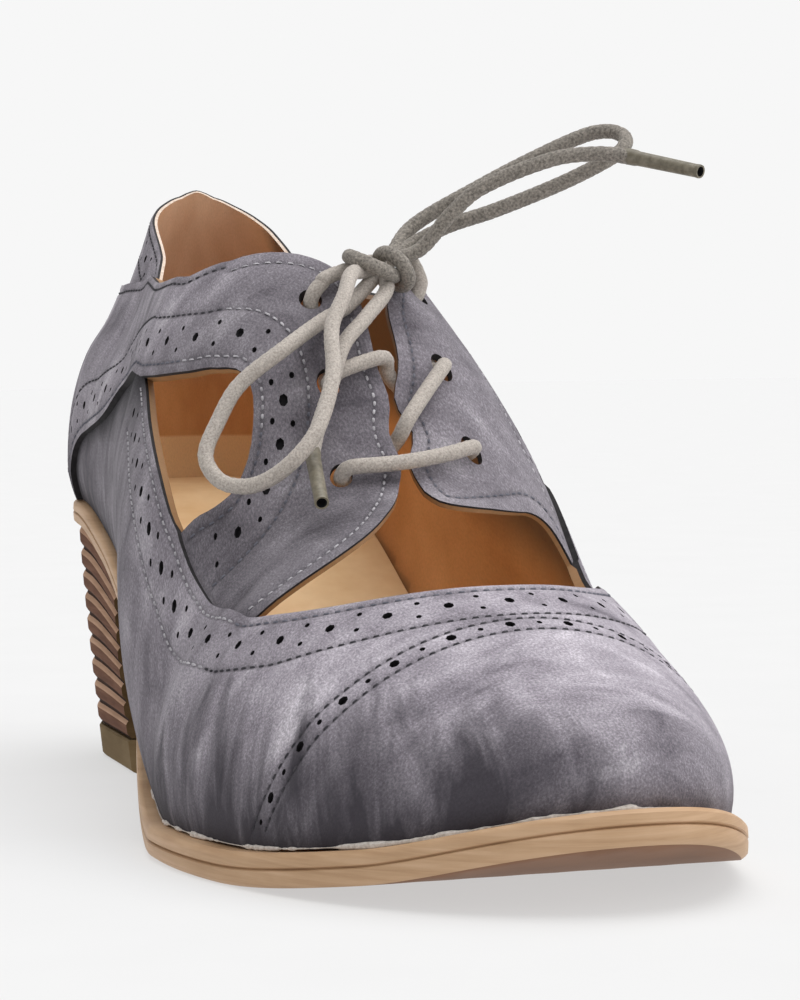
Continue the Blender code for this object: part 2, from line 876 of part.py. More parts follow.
def top_lift():
    """The heel's bottom layer; its rings are all cut to the heel's base."""
    bm = bmesh.new()
    loops = []
    for height, inset in ((0.0, 1.0), (0.8, 0.0), (LIFT_HEIGHT - 0.5, 0.0), (LIFT_HEIGHT, 0.4)):
        ring = heel_ring(0.0, LIFT_INSET * (1 - height / LIFT_HEIGHT) + inset)
        loops.append(add_points(bm, np.column_stack([ring, np.full(len(ring), height)])))
    bridge(bm, loops)
    for loop in (loops[0], loops[-1]):
        bmesh.ops.triangulate(bm, faces=[bm.faces.new(loop)])
    return new_object("top_lift", bm, LIFT_OLIVE)


# The lace


def cord(name, points, thickness, finish, spacing):
    """A tube along a curve through these points."""
    data = bpy.data.curves.new(name, "CURVE")
    data.dimensions = "3D"
    data.bevel_depth = thickness / 2 * MM
    data.bevel_resolution = 2
    data.use_fill_caps = True
    path = smooth_line(points, spacing)
    spline = data.splines.new("POLY")
    spline.points.add(len(path) - 1)
    for point, (station, width, height) in zip(spline.points, path):
        point.co = (-width * MM, -station * MM, height * MM, 1)
    data.materials.append(new_material(name, *finish))
    obj = bpy.data.objects.new(name, data)
    SHOE.objects.link(obj)
    obj.parent = ROOT
    return obj


def route(rows):
    return np.stack([rows["station"], rows["width"], rows["height"]], -1)


def lace_route():
    """Station, distance off the lacing line and height of the lace, stop by stop."""
    stops = np.stack([LACE_STOPS["station"], LACE_STOPS["off"]], -1)
    gone, height = LACE_DIVE["gone"], LACE_DIVE["height"]
    rows = []
    for number, (start, end) in enumerate(zip(stops, stops[1:])):
        face = 1 if number % 2 == 0 else -1
        length = np.linalg.norm(end - start)
        middle = np.arange(5.0, length - 4.9, 3.0)
        ways = np.concatenate([gone, middle, length - gone[::-1]])
        levels = np.concatenate([height, np.full(len(middle), 1.12), height[::-1]])
        if number == 0:
            levels[: len(gone)] = 1.25
        if number == len(stops) - 2:
            levels[-len(gone) :] = 1.25
        gone_share = ways / length
        spots = start + (end - start) * gone_share[:, None]
        spots[:, 0] += LACE_STOPS["sag"][number] * 4 * gone_share * (1 - gone_share)
        rows.append(np.column_stack([spots, levels * face]))
        if number < len(stops) - 2:
            rows.append([[*end, 0.0]])
    return np.concatenate(rows)


def lace():
    rows = lace_route()
    flat = swung(rows[:, :2])
    half = wall("quarter", flat) / 2
    lift = half + rows[:, 2] * (half + LACE / 2 + LACE_CLEARANCE)
    return cord("lace_crossings", on_sole(PATTERN.raised(flat, lift)), LACE, CORD_GREY, 2.2)


def knot():
    bm = bmesh.new()
    bmesh.ops.create_uvsphere(bm, u_segments=12, v_segments=7, radius=1)
    for vertex in bm.verts:
        vertex.co = Vector(vertex.co * Vector(KNOT_HALF)) + Vector(KNOT_CENTRE)
    return new_object("lace_knot", bm, CORD_GREY)


def bow():
    knot()
    for name, rows in (
        ("lace_loop_lower", LOOP_LOWER),
        ("lace_loop_upper", LOOP_UPPER),
        ("lace_end_lower", END_LOWER),
        ("lace_end_upper", END_UPPER),
    ):
        cord(name, route(rows), LACE, CORD_GREY, 4.4)
    for name, rows in (("aglet_lower", TIP_LOWER), ("aglet_upper", TIP_UPPER)):
        cord(name, route(rows), TIP, AGLET_BROWN, 30.0)


# Assembly

for startup in list(bpy.data.objects):
    bpy.data.objects.remove(startup, do_unlink=True)
SHOE = bpy.data.collections.new("heeled_shoe")
bpy.context.scene.collection.children.link(SHOE)
ROOT = bpy.data.objects.new("shoe_root", None)
SHOE.objects.link(ROOT)

PIECES = [outsole(), heel(), top_lift(), upper(), insole()]
lace()
bow()

# The origin is on the floor, under the middle of the shoe
CORNERS = np.array([piece.matrix_world @ Vector(corner) for piece in PIECES for corner in piece.bound_box])
MIDDLE = (CORNERS.min(0) + CORNERS.max(0)) / 2
ROOT.location = (-MIDDLE[0], -MIDDLE[1], 0)
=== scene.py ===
"""Looks of the right-foot cut-out lace-up shoe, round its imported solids.

Sizes are in millimetres, as stations from the back of the heel, widths to the outer side of the foot
and heights above the floor. in_frame turns them into the frame's metres.
"""

import math

import bmesh
import bpy
import numpy as np
from mathutils import Matrix, Vector
from mathutils.geometry import delaunay_2d_cdt
from mathutils.kdtree import KDTree


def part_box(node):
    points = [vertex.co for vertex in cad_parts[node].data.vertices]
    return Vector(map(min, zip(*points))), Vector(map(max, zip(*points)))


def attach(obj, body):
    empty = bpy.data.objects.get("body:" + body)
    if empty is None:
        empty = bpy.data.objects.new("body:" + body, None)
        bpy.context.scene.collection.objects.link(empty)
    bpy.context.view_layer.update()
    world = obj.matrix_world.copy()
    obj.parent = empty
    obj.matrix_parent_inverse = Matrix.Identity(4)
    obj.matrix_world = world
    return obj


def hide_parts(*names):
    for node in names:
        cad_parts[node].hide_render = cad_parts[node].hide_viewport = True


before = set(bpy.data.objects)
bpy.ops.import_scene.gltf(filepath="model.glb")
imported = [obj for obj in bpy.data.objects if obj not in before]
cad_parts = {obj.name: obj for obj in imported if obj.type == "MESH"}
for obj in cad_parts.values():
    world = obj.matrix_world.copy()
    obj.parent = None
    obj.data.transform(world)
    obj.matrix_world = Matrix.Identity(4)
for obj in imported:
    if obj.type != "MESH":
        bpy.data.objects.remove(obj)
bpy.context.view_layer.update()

MM = 0.001
GAP = 0.3
OUTER, INNER = 1, -1


def table(names, *rows):
    """Rows of numbers under named columns; the first column is the one that is looked up."""
    return dict(zip(names.split(), np.array(rows, float).T))


# The last, a solid foot shape: ribs run from its bottom edge up to its crest, side by side along the
# shank, and as fans round one point of the heel and one of the ball
HEEL_CENTRE = 30.0
BALL = 160.0
HEEL_REACH = 24.0
TOE_REACH = 74.0
HEEL_ARC = 46.0
TOE_ARC = 98.0
SHANK_ARC = BALL - HEEL_CENTRE
HALF_ROUND = HEEL_ARC + SHANK_ARC + TOE_ARC
HEEL_POWER = 2.2
TOE_POWER = {OUTER: 2.05, INNER: 2.0}
TOE_SWING = -9.5
WIDTHS = table(
    "station outer inner",
    (30, 27.8, 25.0), (60, 28.3, 24.0), (95, 30.2, 23.5), (130, 36.6, 32.0), (160, 40.8, 39.5),
)
SECTIONS = table(
    "station crest squareness bulge",
    (0, 80.0, 2.3, 4.2), (30, 80.0, 2.3, 4.2), (60, 81.0, 2.4, 4.5), (95, 82.0, 2.45, 6.5),
    (130, 74.0, 2.7, 6.0), (160, 51.5, 2.15, 2.4), (200, 42.0, 2.1, 2.4), (240, 31.0, 2.1, 2.4),
)
# The ankle: how much narrower the last is, as a share of its width, up to the collar, and where
# along the shoe that fades out
ANKLE = table(
    "height narrower",
    (6, 0.0), (20, 0.09), (29, 0.18), (36, 0.31), (44, 0.40), (54, 0.47), (80, 0.55),
)
ANKLE_FADE = table("station share", (42, 1.0), (98, 0.0))

# The sole under the last, and how far its edge stands out from the last
SOLE = table(
    "station underside thickness flange",
    (0, 50.0, 5.0, 3.4), (30, 48.5, 5.0, 3.4), (55, 42.5, 5.0, 3.4), (90, 27.8, 4.8, 3.5),
    (120, 13.0, 5.0, 4.4), (145, 1.6, 5.4, 5.4), (156, 0.0, 5.5, 5.6), (186, 0.0, 5.5, 5.6),
    (215, 3.0, 5.5, 5.6), (240, 10.8, 5.5, 5.6),
)
# From the underside (share 0) to the top (share 1): a line runs round it between its two layers
SOLE_EDGE = table(
    "share out",
    (0.0, -1.2), (0.16, -0.1), (0.48, 0.0), (0.54, -0.45), (0.60, 0.0), (0.86, -0.1), (1.0, -0.9),
)
INSOLE_THICK = 2.4
INSOLE_INSET = 0.6

# The stacked heel
HEEL_BREAST_TOP = 63.0
HEEL_BREAST_BASE = 57.0
HEEL_TAPER = 3.4
HEEL_TOP_INSET = 1.2
HEEL_RIBS = 9
RIB_DEPTH = 0.7
# A rib's face is flat between these shares of its height, and drawn at these
RIB_FLAT = (0.28, 0.72)
RIB_SHARES = (0.0, 0.07, 0.16, 0.28, 0.4, 0.6, 0.72, 0.84, 0.93)
HEEL_ROUND = 44
HEEL_BREAST_POINTS = 9
LIFT_HEIGHT = 6.8
LIFT_INSET = 0.7

# The upper's pattern lies flat: stations along the crest line, and distances off it to each side.
# At the heel and the toe it fans out with the ribs.
FACING_SWING = table("station shift", (110, -6.5), (120, -6.5), (158, -1.0), (166, 0.0))
# The lacing leans: wholly this near the crest line, not at all this far off it, and ahead of a station
LEAN_WHOLE, LEAN_END, LEAN_START = 12, 26, 60
COLLAR_BACK = table(
    "station off",
    (5, 0), (5, 5), (6, 10.5), (11, 18.5), (19.5, 24.6), (31, 29), (41, 32.5), (50, 36.8),
)
STRAP_TOP = table(
    "station off",
    (50, 36.8), (62, 36.2), (75, 34.6), (88, 31.5), (100, 27), (109, 20),
)
# The edges of the lacing, which part where a strand goes down between them
FACING = {
    OUTER: table(
        "station off",
        (109, 20), (114, 12.8), (117.5, 7.8), (121.5, 5.2), (127, 4.2), (136, 3.5), (141.5, 1.8),
        (146.3, 2.5), (150.8, 1.0), (157, 2.3),
    ),
    INNER: table(
        "station off",
        (109, 20), (109.6, 14), (111.2, 9), (114.2, 5.4), (117.5, 3.2), (121.5, 1.7), (127, 0.4),
        (136, 0.7), (141.5, -0.8), (146.3, 1.9), (150.8, 0.6), (157, 2.3),
    ),
}
# The inner side's ends a little past the vamp's edge
PANEL_FRONT = {
    OUTER: table(
        "station off",
        (157, 2.3), (161.5, 4), (167.5, 7.8), (172.2, 13), (175, 19.5), (175.5, 27.5), (174, 36),
    ),
    INNER: table(
        "station off",
        (157, 2.3), (160.4, 5), (160.4, 9), (157, 15.2), (152.6, 22.8), (148.8, 30), (147.2, 36),
        (148.2, 42.1),
    ),
}
# The vamp's top edge: its reach from the ball at each angle, in degrees to the outer side
VAMP_TOP = table("angle reach", (-68, 34.5), (-45, 35.5), (-20, 37.6), (0, 38.6), (68.7, 38.6))
# The cut-outs lie between these two; the inner one is smaller, low on the steeper side
STRAP_LOW = {
    OUTER: table(
        "station off",
        (103, 45.7), (112, 40.5), (122, 33), (127.5, 27), (131.5, 23.6), (135, 22.6), (138.8, 23.2),
        (143, 25.2), (145.2, 29), (144.6, 34), (143, 38.5), (142, 43),
    ),
    INNER: table(
        "station off",
        (103, 45.7), (108, 42.5), (114, 39.2), (120, 37.2), (125, 37.6), (128.8, 40), (130.6, 43.2),
        (131, 46.5),
    ),
}
SIDE_WALL_TOP = {
    OUTER: table("station off", (103, 45.7), (116, 46.2), (131, 45.3), (138, 44.4), (142, 43)),
    INNER: table("station off", (103, 45.7), (110, 50.5), (118, 53), (125, 51.8), (131, 46.5)),
}
VAMP_OVER_PANEL = {
    OUTER: table("station off", (142, 43), (148, 41.6), (155, 39.4), (164, 37.9), (174, 36)),
    INNER: table(
        "station off",
        (131, 46.5), (136, 45), (142, 43), (148, 41.4), (155, 38.9), (164, 35.6), (172.9, 32),
    ),
}
QUARTER_OVER_VAMP = table(
    "station off",
    (103, 45.7), (90, 49.8), (79, 53.3), (70, 57.2), (65.5, 61.3), (58, 65.8), (46, 70.3), (34, 75),
)
QUARTER_FOOT = 44.0
STRAP_OVER_COUNTER = table(
    "station off",
    (50, 36.8), (36, 40), (22, 41.2), (9, 38.5), (-4, 34), (-17, 26), (-25.5, 13), (-28.5, 0),
)
# Thickness of the wall, and how it changes where one piece lies over another
COUNTER_WALL = 1.4
QUARTER_WALL = table("station wall", (100, 2.8), (116, 2.5), (138, 1.6), (150, 1.4))
VAMP_WALL = table("station wall", (84, 1.6), (125, 2.3), (150, 2.6), (178, 2.5), (205, 1.9))

# The lace: it lies on one face of the upper, then on the other, changing face at each stop
LACE = 2.8
LACE_CLEARANCE = 0.45
EYELETS = {
    OUTER: table("station off", (152, 11.7), (138.5, 12.3), (124.5, 12.8)),
    INNER: table("station off", (146.3, 13), (134.8, 8.9), (118.5, 8.6)),
}
# The strand from each stop to the next sags this much to the toe at its middle
LACE_STOPS = table(
    "station off sag",
    (122.5, 8.9, 0), (124.5, 12.8, 0), (138.5, 12.3, 0), (136, 1.4, 0), (146.3, -13, 3.2),
    (152, 11.7, 0), (146.3, 0.3, 0), (134.8, -8.9, 0), (118.5, -8.6, 0), (113.4, -5.5, 0),
)
# How a strand leaves a stop: the way gone, and the height, 1 being where it lies on the face
LACE_DIVE = table("gone height", (0.2, 0.33), (0.9, 0.84), (2.2, 1.08))
# Its height further than this from a stop, and at the lace's two free ends
LACE_CLEAR = 5.0
LACE_STEP = 3.0
LACE_HIGH, LACE_END_HIGH = 1.12, 1.25

# The bow: its knot, two loops and two ends with their tips. Close to the knot the lower strands are
# drawn under its first turn, up to about 10 mm off the way of their solids.
KNOT_CENTRE = (122.6, -7.0, 100)
# How far to each side of its middle the lace runs into the knot
KNOT_ENTRY = np.array((0, 1.5, 0))
LOOP_LOWER = table(
    "station width height",
    (127, -2, 98), (131, 1.1, 97.4), (137, 4.2, 93.6), (142, 8, 88), (150.5, 10.5, 79.5),
    (158, 15.5, 70.5), (159.5, 19.5, 66), (157.5, 23.5, 62.5), (154, 27, 61), (149.5, 30.5, 62),
    (146, 32, 66), (143.5, 29, 72), (142.5, 25, 78), (142, 17, 84), (133, 7, 89.2), (129.6, 1.8, 91.6),
    (126.5, -2.9, 95.2),
)
LOOP_UPPER = table(
    "station width height",
    (118.3, -14.8, 103.4), (119.5, -21, 106.5), (122.5, -29, 109.2), (127.6, -40, 113.8),
    (130.6, -47.4, 117.6), (130.4, -51.2, 120), (127.6, -52.9, 122.3), (123.7, -51.7, 123.8),
    (120.9, -48, 123.4), (118, -39, 119.4), (115.6, -28, 113.7), (114.8, -15.6, 106.6),
)
END_LOWER = table(
    "station width height",
    (127.6, -6.6, 95.0), (134.6, -0.4, 89.6), (140.3, 5.5, 84.7), (146, 10, 76), (149, 13, 70),
    (153, 15, 66.5),
)
TIP_LOWER = table("station width height", (153.7, 15.2, 66.0), (168, 17.8, 58.5))
END_UPPER = table(
    "station width height",
    (122, -14.8, 102.2), (124.5, -20, 108.5), (126.8, -25, 113), (132, -37, 118), (135.5, -44.5, 118.8),
    (139.5, -49, 118),
)
TIP_UPPER = table("station width height", (140.2, -49.6, 117.8), (153, -57, 114.5))

# Small sums, curves and lines


def unit(vectors):
    return vectors / np.linalg.norm(vectors, axis=-1, keepdims=True)


def run_along(points):
    """The way gone along a line, point by point."""
    return np.concatenate([[0], np.cumsum(np.linalg.norm(np.diff(points, axis=0), axis=1))])


def share_of(value, start, end):
    """How far a value has gone from start to end, from 0 to 1."""
    return np.clip((value - start) / (end - start), 0, 1)


def eased(share):
    return share * share * (3 - 2 * share)


def curve(rows, column, x):
    """A column of a table as a smooth curve that never overshoots its rows."""
    keys = next(iter(rows.values()))
    values = rows[column]
    step = np.diff(keys)
    slope = np.diff(values) / step
    tangent = np.zeros(len(keys))
    tangent[0], tangent[-1] = slope[0], slope[-1]
    for i in range(1, len(keys) - 1):
        if slope[i - 1] * slope[i] > 0:
            before, after = 2 * step[i] + step[i - 1], step[i] + 2 * step[i - 1]
            tangent[i] = (before + after) / (before / slope[i - 1] + after / slope[i])
    x = np.clip(x, keys[0], keys[-1])
    k = np.clip(np.searchsorted(keys, x, side="right") - 1, 0, len(step) - 1)
    t = (x - keys[k]) / step[k]
    ends = (1 + 2 * t) * (1 - t) ** 2 * values[k] + t * t * (3 - 2 * t) * values[k + 1]
    return ends + step[k] * t * (1 - t) * ((1 - t) * tangent[k] - t * tangent[k + 1])


def smooth_line(points, spacing):
    """Points at even steps along a curve through these points."""
    points = np.asarray(points, float)
    padded = np.concatenate([[2 * points[0] - points[1]], points, [2 * points[-1] - points[-2]]])
    fine = [points[:1]]
    t = np.linspace(0, 1, 25)[1:, None]
    for a, b, c, d in zip(padded, padded[1:], padded[2:], padded[3:]):
        bend_in = (c - a) * np.linalg.norm(c - b) / (np.linalg.norm(c - b) + np.linalg.norm(b - a))
        bend_out = (d - b) * np.linalg.norm(c - b) / (np.linalg.norm(d - c) + np.linalg.norm(c - b))
        ends = (1 + 2 * t) * (1 - t) ** 2 * b + t * t * (3 - 2 * t) * c
        fine.append(ends + t * (1 - t) * ((1 - t) * bend_in - t * bend_out))
    fine = np.concatenate(fine)
    run = run_along(fine)
    even = np.linspace(0, run[-1], max(2, round(run[-1] / spacing) + 1))
    return np.stack([np.interp(even, run, column) for column in fine.T], -1)


# The last


def swing(station):
    share = np.clip((station - BALL) / TOE_REACH, 0, 1.3)
    return TOE_SWING * share * share


def sole_underside(station):
    return curve(SOLE, "underside", station)


def sole_top(station):
    return sole_underside(station) + curve(SOLE, "thickness", station)


def rib(along):
    """Where a rib starts on the crest, and its direction in plan, from its place round the edge."""
    heel = np.clip(along / HEEL_ARC, 0, 1)
    toe = np.clip((along - HEEL_ARC - SHANK_ARC) / TOE_ARC, 0, 1)
    spine = np.clip(HEEL_CENTRE + along - HEEL_ARC, HEEL_CENTRE, BALL)
    return spine, math.pi / 2 * (2 - heel - toe)


def plan_radius(along, side):
    """Length of a rib in plan, from the crest out to the last's bottom edge."""
    spine, angle = rib(along)
    half = np.where(side > 0, curve(WIDTHS, "outer", spine), curve(WIDTHS, "inner", spine))
    behind = angle > math.pi / 2
    reach = np.where(behind, HEEL_REACH, TOE_REACH)
    power = np.where(behind, HEEL_POWER, np.where(side > 0, TOE_POWER[OUTER], TOE_POWER[INNER]))
    forward, across = np.abs(np.cos(angle)) / reach, np.abs(np.sin(angle)) / half
    return (forward**power + across**power) ** (-1 / power)


def section(along, turn, side):
    """The last over a flat sole: turn goes from 0 at the bottom edge to 1 on the crest."""
    spine, angle = rib(along)
    radius = plan_radius(along, side)
    near = spine + np.cos(angle) * radius * np.cos(turn * math.pi / 2)
    power = 2 / curve(SECTIONS, "squareness", near)
    inward = np.cos(turn * math.pi / 2) ** power
    upward = np.sin(turn * math.pi / 2) ** power
    out = inward * (radius + curve(SECTIONS, "bulge", near) * np.sin(math.pi * upward**0.8))
    station = spine + np.cos(angle) * out
    height = curve(SECTIONS, "crest", station) * upward
    narrower = curve(ANKLE, "narrower", height) * curve(ANKLE_FADE, "share", station)
    return np.stack([station, side * np.sin(angle) * out * (1 - narrower), height], -1)


def on_sole(points):
    """Bends a shape that was worked out over a flat sole onto the real one."""
    station = points[..., 0]
    width = points[..., 1] + swing(station)
    return np.stack([station, width, points[..., 2] + sole_top(station) + GAP], -1)


class Pattern:
    """The flat pattern of the upper, and the way from it to the last."""

    ROWS, STEPS = 138, 96
    # The step that slopes are felt over, and the rise below which the wall's direction turns level
    FEEL = 0.4
    LEVEL_BELOW = 10

    def __init__(self):
        self.alongs = np.linspace(0, HALF_ROUND, self.ROWS)
        self.girths, self.turns = {}, {}
        turn = np.linspace(0, 1, 4 * self.STEPS + 1)
        for side in (OUTER, INNER):
            grid = section(self.alongs[:, None], turn, side)
            run = np.cumsum(np.linalg.norm(np.diff(grid, axis=1), axis=-1), axis=1)
            run = np.pad(run, ((0, 0), (1, 0)))
            shares = np.linspace(0, 1, self.STEPS + 1)
            self.girths[side] = run[:, -1]
            self.turns[side] = np.array([np.interp(shares * row[-1], row, turn) for row in run])

    def girth(self, along, side):
        outer, inner = (np.interp(along, self.alongs, self.girths[s]) for s in (OUTER, INNER))
        return np.where(side > 0, outer, inner)

    def flat(self, along, rise, side):
        """The place on the flat pattern, rise being the way up from the last's bottom edge."""
        spine, angle = rib(along)
        left = self.girth(along, side) - rise
        return np.stack([spine + np.cos(angle) * left, side * np.sin(angle) * left], -1)

    def place(self, flat):
        """(way round the edge, rise, side) of a place on the flat pattern."""
        x, y = flat[..., 0], flat[..., 1]
        side = np.where(y >= 0, OUTER, INNER)
        ahead = np.minimum(x - HEEL_CENTRE, 0) + np.maximum(x - BALL, 0)
        angle = np.arctan2(np.abs(y), ahead) / (math.pi / 2)
        heel = HEEL_ARC * (2 - angle)
        toe = HEEL_ARC + SHANK_ARC + TOE_ARC * (1 - angle)
        along = np.where(ahead < 0, heel, np.where(ahead > 0, toe, HEEL_ARC + x - HEEL_CENTRE))
        return along, self.girth(along, side) - np.hypot(ahead, y), side

    def on_last(self, flat):
        along, rise, side = self.place(flat)
        share = np.clip(rise / self.girth(along, side), 0, 1) * self.STEPS
        row = np.interp(along, self.alongs, np.arange(len(self.alongs)))
        i = np.minimum(row.astype(int), len(self.alongs) - 2)
        j = np.minimum(share.astype(int), self.STEPS - 1)
        a, b = row - i, share - j
        turn = []
        for turns in (self.turns[OUTER], self.turns[INNER]):
            near = turns[i, j] * (1 - b) + turns[i, j + 1] * b
            turn.append(near * (1 - a) + (turns[i + 1, j] * (1 - b) + turns[i + 1, j + 1] * b) * a)
        return section(along, np.where(side > 0, turn[0], turn[1]), side)

    def raised(self, flat, lift):
        """Points this far out from the last, square to it but level at its bottom edge."""
        flat = np.asarray(flat, float)
        step = self.FEEL * np.eye(2)
        tangents = [self.on_last(flat + d) - self.on_last(flat - d) for d in step]
        normal = unit(np.cross(*tangents))
        normal[..., 2] *= eased(share_of(self.place(flat)[1], 0, self.LEVEL_BELOW))
        return self.on_last(flat) + unit(normal) * np.asarray(lift)[..., None]


PATTERN = Pattern()


# The pattern's lines


def swung(flat):
    """Lines near the lacing lean to the inner side, more towards its top."""
    share = share_of(np.abs(flat[:, 1]), LEAN_END, LEAN_WHOLE)
    lean = curve(FACING_SWING, "shift", flat[:, 0]) * (flat[:, 0] > LEAN_START)
    return np.stack([flat[:, 0], flat[:, 1] + lean * share], -1)


def line(rows, side, spacing):
    points = smooth_line(np.stack([rows["station"], rows["off"]], -1), spacing)
    return swung(points * (1, side))


def vamp_line(spacing):
    """The vamp's top edge, from the outer side's panel round to the inner side's."""
    angles = VAMP_TOP["angle"]
    count = round(math.radians(angles[-1] - angles[0]) * VAMP_TOP["reach"].max() / spacing)
    angles = np.linspace(angles[-1], angles[0], count + 1)
    reach, turn = curve(VAMP_TOP, "reach", angles), np.radians(angles)
    points = np.stack([BALL + reach * np.cos(turn), reach * np.sin(turn)], -1)
    for place, side in ((0, OUTER), (-1, INNER)):
        points[place] = VAMP_OVER_PANEL[side]["station"][-1], VAMP_OVER_PANEL[side]["off"][-1] * side
    return points


def quarter_line(side, spacing):
    """The quarter's rear edge, over the vamp's side wall down to the sole."""
    foot = PATTERN.flat(np.array([QUARTER_FOOT]), np.zeros(1), side)
    rows = np.stack([QUARTER_OVER_VAMP["station"], QUARTER_OVER_VAMP["off"] * side], -1)
    return smooth_line(np.concatenate([rows, foot]), spacing)


def bottom_line(spacing):
    count = round(HALF_ROUND / spacing)
    alongs = np.sort(np.append(np.linspace(0, HALF_ROUND, count + 1), QUARTER_FOOT))
    outer = PATTERN.flat(alongs, 0 * alongs, OUTER)
    inner = PATTERN.flat(alongs[-2:0:-1], 0 * alongs[-2:0:-1], INNER)
    return np.concatenate([outer, inner, outer[:1]])


def eyelets():
    places = [np.stack([rows["station"], side * rows["off"]], -1) for side, rows in EYELETS.items()]
    return swung(np.concatenate(places))


# Flat meshes


class Net:
    """Points and edges of a flat drawing, with equal points made one.

    Hard lines part regions. Soft ones only shape the surface, and may be sunk into it.
    """

    # The grid's rows lie this far apart, and its points this far off the lines, as shares of its spacing
    GRID_ROWS = 0.87
    GRID_CLEAR = 0.5

    def __init__(self):
        self.points, self.hard, self.soft, self.index, self.sunk = [], [], [], {}, {}

    def point(self, xy):
        key = (round(float(xy[0]), 2), round(float(xy[1]), 2))
        if key not in self.index:
            self.index[key] = len(self.points)
            self.points.append((float(xy[0]), float(xy[1])))
        return self.index[key]

    def add_line(self, points, soft=False, sink=0.0):
        ids = [self.point(p) for p in points]
        edges = [(a, b) for a, b in zip(ids, ids[1:]) if a != b]
        (self.soft if soft else self.hard).extend(edges)
        if sink:
            self.sunk.update((i, sink) for i in ids)

    def fill(self, spacing):
        """Adds a staggered grid of points that keeps clear of the lines."""
        ends = np.array(self.points)[np.array(self.hard + self.soft)]
        low, high = ends.min((0, 1)), ends.max((0, 1))
        for number, y in enumerate(np.arange(low[1], high[1], spacing * self.GRID_ROWS)):
            near = ends[(np.abs(ends[:, :, 1] - y) < 3 * spacing).any(1)]
            xs = np.arange(low[0] + spacing / 2 * (number % 2), high[0], spacing)
            grid = np.stack([xs, np.full(len(xs), y)], -1)
            if len(near):
                grid = grid[distance_to(near, grid) > spacing * self.GRID_CLEAR]
            for xy in grid:
                self.point(xy)

    def triangles(self):
        """(points, triangles, the hard edges, how far each point is sunk)."""
        flat = [Vector(p) for p in self.points]
        found = delaunay_2d_cdt(flat, self.hard + self.soft, [], 0, 1e-5)
        points, edges, faces, sources, drawn, _ = found
        count = len(self.hard)
        barriers = {tuple(sorted(e)) for e, ids in zip(edges, drawn) if any(i < count for i in ids)}
        sunk = [max((self.sunk.get(i, 0.0) for i in ids), default=0.0) for ids in sources]
        return np.array([tuple(p) for p in points]), [tuple(f) for f in faces], barriers, np.array(sunk)


def distance_to(ends, points):
    """How far each point lies from the nearest of these straight pieces."""
    start, along = ends[:, 0], ends[:, 1] - ends[:, 0]
    reach = points[:, None] - start
    share = np.clip((reach * along).sum(-1) / np.maximum((along * along).sum(-1), 1e-12), 0, 1)
    return np.linalg.norm(reach - share[..., None] * along, axis=-1).min(1)


def distance_in_steps(ends, points, step=2000):
    """The same for many points, a part of them at a time."""
    return np.concatenate([distance_to(ends, points[i : i + step]) for i in range(0, len(points), step)])


def edges_of(face):
    return [tuple(sorted((face[i], face[i - 1]))) for i in range(3)]


def neighbours(faces):
    sides = {}
    for number, face in enumerate(faces):
        for edge in edges_of(face):
            sides.setdefault(edge, []).append(number)
    return sides


def flooded(points, faces, barriers, seeds):
    """The name of the seed that each face's region holds, or None."""
    sides = neighbours(faces)
    centres = points[np.array(faces)].mean(1)
    names = [None] * len(faces)
    for name, seed in seeds:
        todo = [int(np.linalg.norm(centres - seed, axis=1).argmin())]
        while todo:
            number = todo.pop()
            if names[number] is not None:
                continue
            names[number] = name
            for edge in edges_of(faces[number]):
                if edge not in barriers:
                    todo += sides[edge]
    return names


# The sole's and the heel's outlines


def edge_points(alongs, side, out):
    """Stations and widths along one side of the last's bottom edge, this far out from it."""
    spine, angle = rib(alongs)
    reach = plan_radius(alongs, side) + out
    station = spine + np.cos(angle) * reach
    return np.stack([station, side * np.sin(angle) * reach + swing(station)], -1)


def sole_points(alongs, side, out):
    """The same along the sole's edge."""
    spine, angle = rib(alongs)
    flange = curve(SOLE, "flange", spine + np.cos(angle) * plan_radius(alongs, side))
    return edge_points(alongs, side, flange + out)


def closed_loop(points_of, out, spacing):
    alongs = np.linspace(0, HALF_ROUND, round(HALF_ROUND / spacing) + 1)
    return np.concatenate([points_of(alongs, OUTER, out), points_of(alongs[-2:0:-1], INNER, out)])


def heel_ring(share, inset):
    """Stations and widths round the heel at this share of its height, from its base to the sole."""
    breast = HEEL_BREAST_BASE + (HEEL_BREAST_TOP - HEEL_BREAST_BASE) * share**2
    corner = HEEL_ARC + breast - HEEL_CENTRE
    out = -HEEL_TOP_INSET - HEEL_TAPER * (1 - share) ** 1.3 - inset
    alongs = np.linspace(corner, 0, HEEL_ROUND)
    outer = sole_points(alongs, OUTER, out)
    inner = sole_points(alongs[-2::-1], INNER, out)
    across = np.linspace(0, 1, HEEL_BREAST_POINTS + 2)[1:-1, None]
    front = inner[-1] * (1 - across) + outer[0] * across
    return np.concatenate([outer, inner, front])


def heel_height(station, share):
    base = LIFT_HEIGHT + GAP
    return base + (sole_underside(station) - GAP - base) * share


# Placing things in the frame

# The step at which the solids' sole was drawn
SOLE_RING_STEP = 5.2


def frame_offset():
    """Where the shoe's own zero lies in the frame, from the outsole's box."""
    ring = closed_loop(sole_points, 0.0, SOLE_RING_STEP)
    low, high = (np.array(corner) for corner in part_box("outsole"))
    station, width = (ring.min(0) + ring.max(0)) / 2
    middle = (low + high) / 2
    return np.array([middle[0] + width * MM, middle[1] + station * MM, 0.0])


OFFSET = frame_offset()


def in_frame(points):
    points = np.asarray(points, float)
    turned = np.stack([-points[..., 1], -points[..., 0], points[..., 2]], -1)
    return turned * MM + OFFSET


def new_object(name, data):
    obj = bpy.data.objects.new(name, data)
    bpy.context.scene.collection.objects.link(obj)
    return obj


